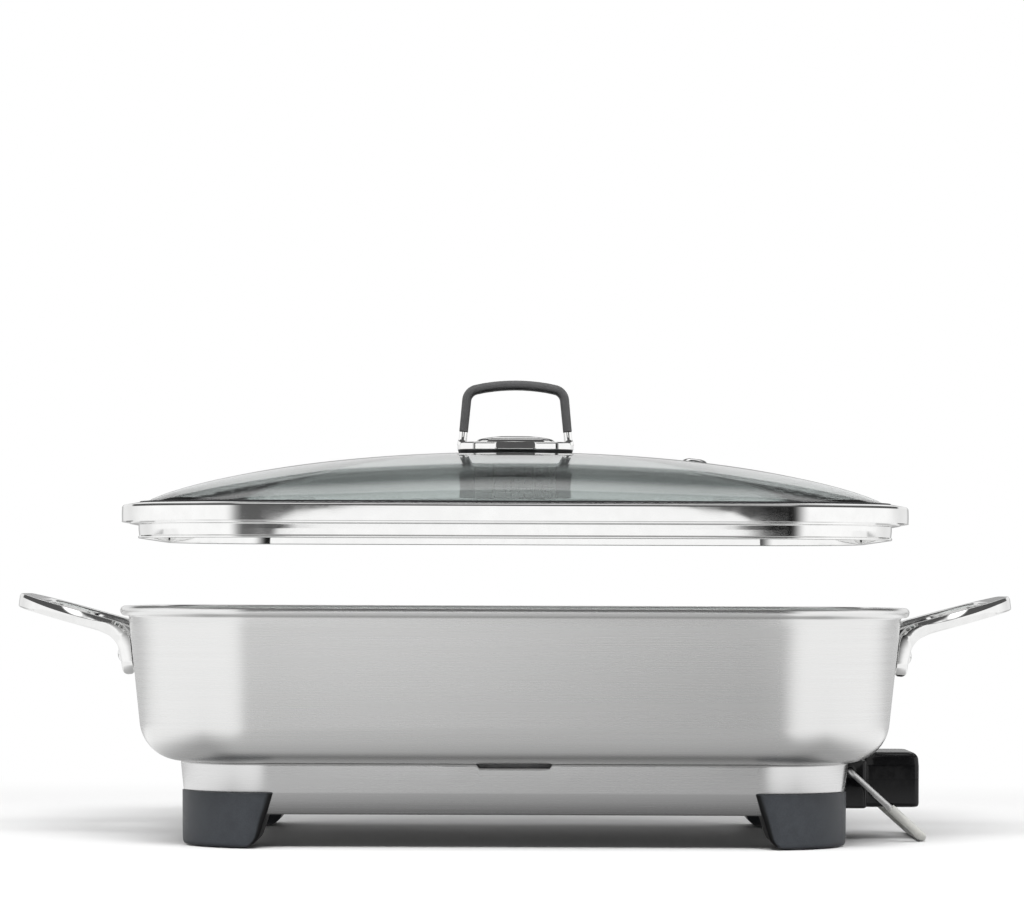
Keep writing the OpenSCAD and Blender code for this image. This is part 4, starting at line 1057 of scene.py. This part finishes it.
def build_probe():
    r = 2.4
    top = [(0.1, 0.1, r, SPLIT_Z + 0.02), (0, 0, r, SPLIT_Z + 0.12), (0, 0, r, SPLIT_Z + 0.4),
           (0, 0, r, PROBE_TOP - 7.8), (0, 0, r, PROBE_TOP - 7.2), (0.05, 0.15, r, PROBE_TOP - 6.6),
           (0.1, 0.9, r, PROBE_TOP - 5.0)]
    edge_r = 4.4
    for angle in (12, 24, 36, 48, 60, 70, 79, 86, 90):
        t = radians(angle)
        inset = edge_r * (1 - cos(t))
        top.append((0.1 + inset, 1.1 + inset, r + angle / 60, PROBE_TOP - edge_r * (1 - sin(t))))
    low = [(1.8, 1.8, 2.2, PROBE_BOTTOM), (0.8, 0.8, r, PROBE_BOTTOM + 0.3),
           (0.25, 0.25, r, PROBE_BOTTOM + 0.9), (0, 0, r, PROBE_BOTTOM + 1.8),
           (0, 0, r, PROBE_BOTTOM + 2.4), (0, 0, r, SPLIT_Z - 0.4), (0, 0, r, SPLIT_Z - 0.12),
           (0.1, 0.1, r, SPLIT_Z - 0.02)]
    hole_r = DIAL_R + 0.6
    recess = lathe([(0, 0), (hole_r, 0), (hole_r, 6), (0, 6)], 72)
    recess = moved(recess, at(PROBE_END, 0, SPLIT_Z) @ turned(90, "Y"))
    upper = cut(loft([probe_layer(*row) for row in top]), recess.copy())
    lower = cut(loft([probe_layer(*row) for row in low]), recess)
    piece("probe_upper", upper, BLACK, "control_probe", ["probe_shell_top"])
    piece("probe_lower", lower, BLACK, "control_probe", ["probe_shell_bottom"])
    gland = [(3.25, -4.4), (6.2, -4.4), (6.2, -2.2), (4.7, -2.2), (4.7, 0), (6.25, 0), (6.25, 0.9),
             (5.8, 1.3), (5.4, 1.35), (5.3, 1.75), (4.9, 2.15), (4.4, 2.2), (3.25, 2.2), (3.25, -4.4)]
    stand = at(SOCKET_X + 11, PROBE_HALF, SPLIT_Z) @ turned(-90, "X")
    piece("gland_ring", moved(lathe(gland, 40), stand), RUBBER, "control_probe", ["cord_gland"])
    lens = [(0, 0.3), (1.2, 0.22), (2.0, -0.05), (2.4, -0.5), (2.4, -3.0), (0, -3.0)]
    stand = at(SOCKET_X + 13, -PROBE_HALF + 9, PROBE_TOP - 0.3)
    piece("lens_cap", moved(lathe(lens, 32), stand), AMBER, "control_probe", ["indicator_lens"])
    screw_in = 4.3
    spots = [(PROBE_END - screw_in, s * (PROBE_HALF - screw_in), PROBE_BOTTOM + 1.75, 30 * s)
             for s in (-1, 1)]
    screw_heads("probe_screw_heads", (4.8, 1.6), spots, "control_probe", "probe_screws")
    build_dial()
    build_socket()


DIGIT_ANGLES = (215, 180, 145, 35, 0, -35)
DIGIT_SIZE = 3.51
DIGIT_R = 16.2


def build_dial():
    """The dial, flush in the probe's end: a dished disc with a bar, and numbers round it."""
    edge = ((0.3, 0), (0, 0.3), (0, 2.4), (0.4, 2.8), (1.2, 2.8), (1.6, 2.4), (2.0, 1.3), (3.0, 0.8))
    dish = [(0, 0)] + [(DIAL_R - back, z) for back, z in edge] + [(0, 0.8)]
    bar = rounded_block([(3.4, DIAL_R - 1.8, 1.2, 0.5), (2.6, DIAL_R - 1.9, 1.0, 1.6),
                         (2.4, DIAL_R - 2.0, 1.0, 2.5), (2.1, DIAL_R - 2.3, 0.9, 2.8)])
    facing = turned(90, "Y") @ turned(90, "Z")
    stand = at(DIAL_X, 0, SPLIT_Z) @ facing
    piece("dial_disc", moved(joined([lathe(dish, 72), bar]), stand), BLACK, "temperature_dial",
          ["dial"])
    line = rounded_block([(0.4, 2.0, 0.3, 2.74), (0.36, 1.9, 0.26, 2.84)], 3)
    piece("dial_line", moved(line, stand @ at(0, 7.2, 0)), INK, "temperature_dial")
    numbers = joined([digit(str(i), angle) for i, angle in enumerate(DIGIT_ANGLES, 1)])
    piece("dial_numbers", moved(numbers, at(HOOD_END, 0, SPLIT_Z) @ facing), INK, "control_probe")


def digit(text, angle):
    """A digit as a thin mesh, set round the dial's face."""
    curve = bpy.data.curves.new("digit", "FONT")
    curve.body = text
    curve.size = DIGIT_SIZE
    curve.align_x = "CENTER"
    curve.align_y = "CENTER"
    curve.extrude = 0.06
    bm = final_mesh(in_scene("digit", curve))
    bpy.data.curves.remove(curve)
    a = radians(angle)
    return moved(bm, at(DIGIT_R * cos(a), DIGIT_R * sin(a), 0.02) @ turned(angle - 90, "Z"))


def socket_layer(z, inset):
    """A level outline of the socket housing, fitted to the leaning and tucked-in skirt."""
    lean = (BASE_R - BEND_R) * min((STAND_Z - z) / (STAND_Z - BEND_Z), 1)
    tuck = max(0.0, BEND_Z - z) * (BEND_R - TUCK_R) / (BEND_Z - SKIRT_Z)
    x0 = BASE_CORNER[0] + BASE_R - lean - tuck + 0.05
    x1 = SOCKET_X - inset
    y = SOCKET_HALF - inset
    return filleted([(x0, -y), (x1, -y), (x1, y), (x0, y)], [0, 2.4, 2.4, 0], 6), z


def build_socket():
    """The socket housing on the base's end, with a ring round each end of the tilt leg's wire."""
    rows = [(PROBE_BOTTOM, 1.2), (PROBE_BOTTOM + 0.35, 0.5), (PROBE_BOTTOM + 1.2, 0), (BEND_Z, 0),
            (STAND_Z - 2.4, 0), (STAND_Z - 1.4, 0.4), (STAND_Z - 0.8, 1.1), (STAND_Z - 0.6, 1.9)]
    body = loft([socket_layer(z, inset) for z, inset in rows])
    depth = 4.65
    hollow = rounded_block([(depth, 26.3, 0.4, 24.7), (depth, 26.3, 0.4, 41.3)], 2)
    body = cut(body, moved(hollow, at(SOCKET_X - depth + 0.4, 0, 0)))
    piece("socket_body", body, BLACK, "skillet", ["socket_housing"], sharp=30)
    bore = WIRE_R + 0.1
    ring = lathe([(bore, 0), (3.6, 0), (3.6, 0.5), (3.1, 0.8), (bore, 0.8), (bore, 0)], 28)
    spots = [at(PIVOT[0], s * SOCKET_HALF, PIVOT[2]) @ turned(-90 * s, "X") for s in (1, -1)]
    piece("pivot_rings", copies(ring, spots), BLACK, "skillet")


# Tilt leg

def leg_line(half, radii, step):
    """The leg's middle line through one half's corners and their mirror images, in steps."""
    other = [(p, -y) for p, y in reversed(half)]
    line = filleted(half + other, radii + radii[::-1], 10, False)
    out = [line[0]]
    for a, b in zip(line, line[1:]):
        count = max(1, ceil(dist(a, b) / step))
        out += [between(a, b, i / count) for i in range(1, count + 1)]
    return [(p, y, 0) for p, y in out]


def leg_tube(line, r, sides, scales=None):
    """A tube along the leg's line, swung out to rest."""
    ring = arc((0, 0), r, 0, 360 - 360 / sides, sides - 1)
    swing = at(*PIVOT) @ Matrix.Rotation(LEG_ANGLE, 4, "Y")
    return moved(along(line, [(0, 0, 1)] * len(line), ring, scales), swing)


def build_leg():
    bar_end = (LEG_LEN, LEG_HALF)
    bar_r = 9.0
    wire = leg_line([(0, 35.5), (0, LEG_HALF), bar_end], [0, 3.5, bar_r], 3.0)
    piece("leg_wire", leg_tube(wire, WIRE_R, 20), FASTENER, "tilt_leg", ["tilt_leg_wire"])
    sleeve = leg_line([(29.0, LEG_HALF), bar_end], [0, bar_r], 0.55)
    end_scales = {0: 0.86, 1: 0.96}
    ribs = []
    for i in range(len(sleeve)):
        grow = end_scales.get(min(i, len(sleeve) - 1 - i), 1.0)
        dip = 0.965 if i % 5 == 2 else 1.0
        ribs.append((grow * dip, grow * dip))
    piece("leg_sleeve", leg_tube(sleeve, SLEEVE_R, 24, ribs), SLEEVE, "tilt_leg", ["tilt_leg_sleeve"],
          sharp=50)


# CAD nodes that show as they are

KEPT = {
    "heat_plate": ALUMINIUM, "probe_guide_tube": ALUMINIUM, "heating_element": SHEATH,
    "terminal_pins": BRASS, "probe_contacts": BRASS, "base_studs": FASTENER, "socket_screws": FASTENER,
    "foot_screws": FASTENER, "foot_nuts": FASTENER, "handle_spacers": FASTENER,
    "lid_handle_backing": FASTENER, "probe_rod": FASTENER, "dial_shaft": FASTENER,
    "probe_nose": BLACK, "thermostat": SWITCH, "neon_lamp": LAMP,
}


def dress_nodes():
    for name, material in KEPT.items():
        mesh = nodes[name].data
        mesh.materials.clear()
        mesh.materials.append(material)


# Studio

def deg(*angles):
    """Angles given in degrees, in radians."""
    return [radians(a) for a in angles]


def studio_world():
    """White to the camera; steel and glass mirror a white room with a dark ceiling and dark gaps."""
    world = bpy.data.worlds.new("studio")
    bpy.context.scene.world = world
    world.use_nodes = True
    g = Graph(world.node_tree)
    axes = g.axes(g.coords("Generated"))
    azimuth = g.math("ARCTAN2", axes[0], g.times(axes[1], -1))
    leftward = g.times(azimuth, -1)
    turn = g.math("ABSOLUTE", azimuth)
    height = g.math("ARCSINE", axes[2])

    # Walls left and right of an opening in front, which is narrow and sharp near the floor
    upper = g.ramp(height, *deg(-10, -7.5))
    right_at = g.blend(upper, *deg(3.2, 16))
    left_at = g.blend(upper, *deg(3.35, 12))
    blur = g.blend(upper, *deg(0.2, 8.2))
    right = g.ramp(g.math("DIVIDE", g.minus(azimuth, right_at), blur), -1, 1)
    left = g.ramp(g.math("DIVIDE", g.minus(leftward, left_at), blur), -1, 1)
    sides = g.plus(right, left)

    # Behind, the walls are lower and dimmer, with a grey card low in the middle
    behind = g.ramp(turn, *deg(100, 135))
    top = g.blend(behind, *deg(46, 22))
    wall = g.times(sides, g.ramp(g.minus(height, top), -0.03, 0.03, 1, 0))
    wall = g.times(wall, g.blend(behind, 1.0, 0.8))
    card = g.times(g.ramp(turn, *deg(152, 168)), g.ramp(height, *deg(5, 7), 1, 0))
    wall = g.times(wall, g.blend(card, 1.0, 0.4))

    # A panel in the opening: its top is arched, and near the floor it fades from left to right
    crown = g.plus(height, g.times(g.times(azimuth, azimuth), 80.0))
    low_panel = g.ramp(azimuth, *deg(-3.5, 3.5), 1.05, 0.38, False)
    low_panel = g.times(low_panel, g.ramp(turn, *deg(3.05, 3.25), 1, 0.6))
    panel = g.blend(upper, low_panel, 1.0)
    front = g.times(g.ramp(crown, 0.256, 0.274, 1, 0), g.minus(1.0, sides))
    bright = g.plus(wall, g.times(front, panel))

    # Lamps overhead and high at the back
    overhead = g.ramp(height, *deg(80, 84), 0, 1.8)
    back = g.times(g.ramp(height, *deg(38, 52)), g.ramp(height, *deg(58, 62), 1.5, 0))
    back = g.times(back, g.ramp(turn, *deg(125, 165)))

    # The rest is dark, and darkest low on the right
    right_gap = g.times(g.ramp(azimuth, *deg(2, 5)), g.ramp(height, *deg(8, 14), 1, 0))
    dark = g.blend(right_gap, 0.10, 0.015)
    seen = g.plus(g.blend(bright, dark, 1.13), g.plus(overhead, back))

    path = g.node("ShaderNodeLightPath").outputs
    shiny = g.math("MAXIMUM", path["Is Glossy Ray"], path["Is Transmission Ray"])
    soft = g.ramp(axes[2], 0.0, 0.9, 0.10, 0.65)
    plain = g.blend(shiny, soft, seen)
    g.feed("Background", "Strength", g.blend(path["Is Camera Ray"], plain, 1.0))
    world.node_tree.nodes["Background"].inputs["Color"].default_value = (1, 1, 1, 1)


def area_lamp(name, place, size, energy):
    """A soft lamp aimed at the middle, placed in metres, that doesn't show in the steel."""
    light = bpy.data.lights.new(name, "AREA")
    light.shape = "RECTANGLE"
    light.size, light.size_y = size
    light.energy = energy
    obj = in_scene(name, light)
    obj.location = place
    obj.rotation_euler = (-Vector(place)).to_track_quat("-Z", "Y").to_euler()
    obj.visible_camera = False
    obj.visible_glossy = False
    obj.visible_transmission = False


# Half sizes of the floor's part under the skillet, in metres
FLOOR_SPOT = (0.172, 0.124)


def floor_material():
    """A plain pale floor that takes the shadow and is white further off; steel sees it greyer, with
    painted shade close to the skillet.
    """
    material = grained("floor", 3.0, (0.73, 0.73, 0.73), (0.75, 0.75, 0.75), (0.5, 0.6), 0.0, 0.1,
                       Specular_IOR_Level=0.1)
    g = Graph(material.node_tree)
    x, y, _ = g.axes(g.coords("Object"))
    side = g.math("ABSOLUTE", x)
    past_end = g.minus(side, FLOOR_SPOT[0])
    past_front = g.minus(g.math("ABSOLUTE", y), FLOOR_SPOT[1])
    gap = g.math("MAXIMUM", past_end, past_front)

    # What the steel sees: greyer in front of the pan, lighter past its ends, dimmer behind, and darker
    # close to the base, a painted shadow standing in for contact shade
    near = g.plus(g.ramp(gap, -0.004, 0.014, 0.2, 0.85), g.ramp(gap, 0.014, 0.08, 0, 0.15))
    front = g.times(near, g.ramp(x, -0.15, 0.15, 0.60, 0.50, False))
    lift = g.times(g.ramp(gap, 0.2, 0.42), g.ramp(x, 0.12, -0.14, 0, 0.75))
    front = g.times(front, g.plus(lift, 1.0))
    # Past the pan's ends the floor the steel sees is also darkened close to the base: painted shade
    ends = g.ramp(gap, 0.02, 0.12, 0.4, 1.05)
    mirrored = g.ramp(side, 0.150, 0.185, front, ends)
    mirrored = g.times(mirrored, g.ramp(y, 0.15, 0.35, 1, 0.55))

    white = g.node("ShaderNodeEmission", {"Strength": 1.0}).outputs[0]
    surface = g.tree.nodes[SURFACE].outputs[0]
    plain = g.node("ShaderNodeMixShader", {0: g.ramp(gap, 0.12, 0.55), 1: surface, 2: white}).outputs[0]
    reflected = g.node("ShaderNodeEmission", {"Strength": mirrored}).outputs[0]
    glossy = g.node("ShaderNodeLightPath").outputs["Is Glossy Ray"]
    both = g.node("ShaderNodeMixShader", {0: glossy, 1: plain, 2: reflected})
    g.feed(OUTPUT, "Surface", both.outputs[0])
    return material


# The camera stands far off with a long lens; its place is in metres
CAMERA_PLACE = (0, -2.3, 0.131)
CAMERA_ROLL = radians(-0.2)
CAMERA_LENS = 148.9
CAMERA_SHIFT = (-0.0029, 0.1348)

# The floor's edges
FLOOR_HALF = 3000
FLOOR_FRONT = -620
FLOOR_BACK = 3500


def build_floor():
    bm = bmesh.new()
    corners = [(-FLOOR_HALF, FLOOR_FRONT), (FLOOR_HALF, FLOOR_FRONT), (FLOOR_HALF, FLOOR_BACK),
               (-FLOOR_HALF, FLOOR_BACK)]
    bm.faces.new([bm.verts.new((x, y, 0)) for x, y in corners])
    floor = to_object("floor", bm)
    floor.data.materials.append(floor_material())


def build_camera():
    camera = bpy.data.cameras.new("camera")
    camera.lens = CAMERA_LENS
    camera.sensor_width = 36
    camera.shift_x, camera.shift_y = CAMERA_SHIFT
    view = in_scene("camera", camera)
    view.location = CAMERA_PLACE
    view.rotation_euler = (radians(90), CAMERA_ROLL, 0)
    bpy.context.scene.camera = view
    bpy.context.scene.view_settings.view_transform = "Standard"


def build_studio():
    studio_world()
    area_lamp("front_lamp", (0, -1.5, 1.9), (1.4, 0.7), 62)
    area_lamp("left_lamp", (-1.7, -0.5, 1.3), (0.9, 0.9), 12)
    area_lamp("right_lamp", (1.7, -0.5, 1.3), (0.9, 0.9), 12)
    build_floor()
    build_camera()


build_pan()
build_handles()
build_base()
build_lid()
build_probe()
build_leg()
dress_nodes()
build_studio()
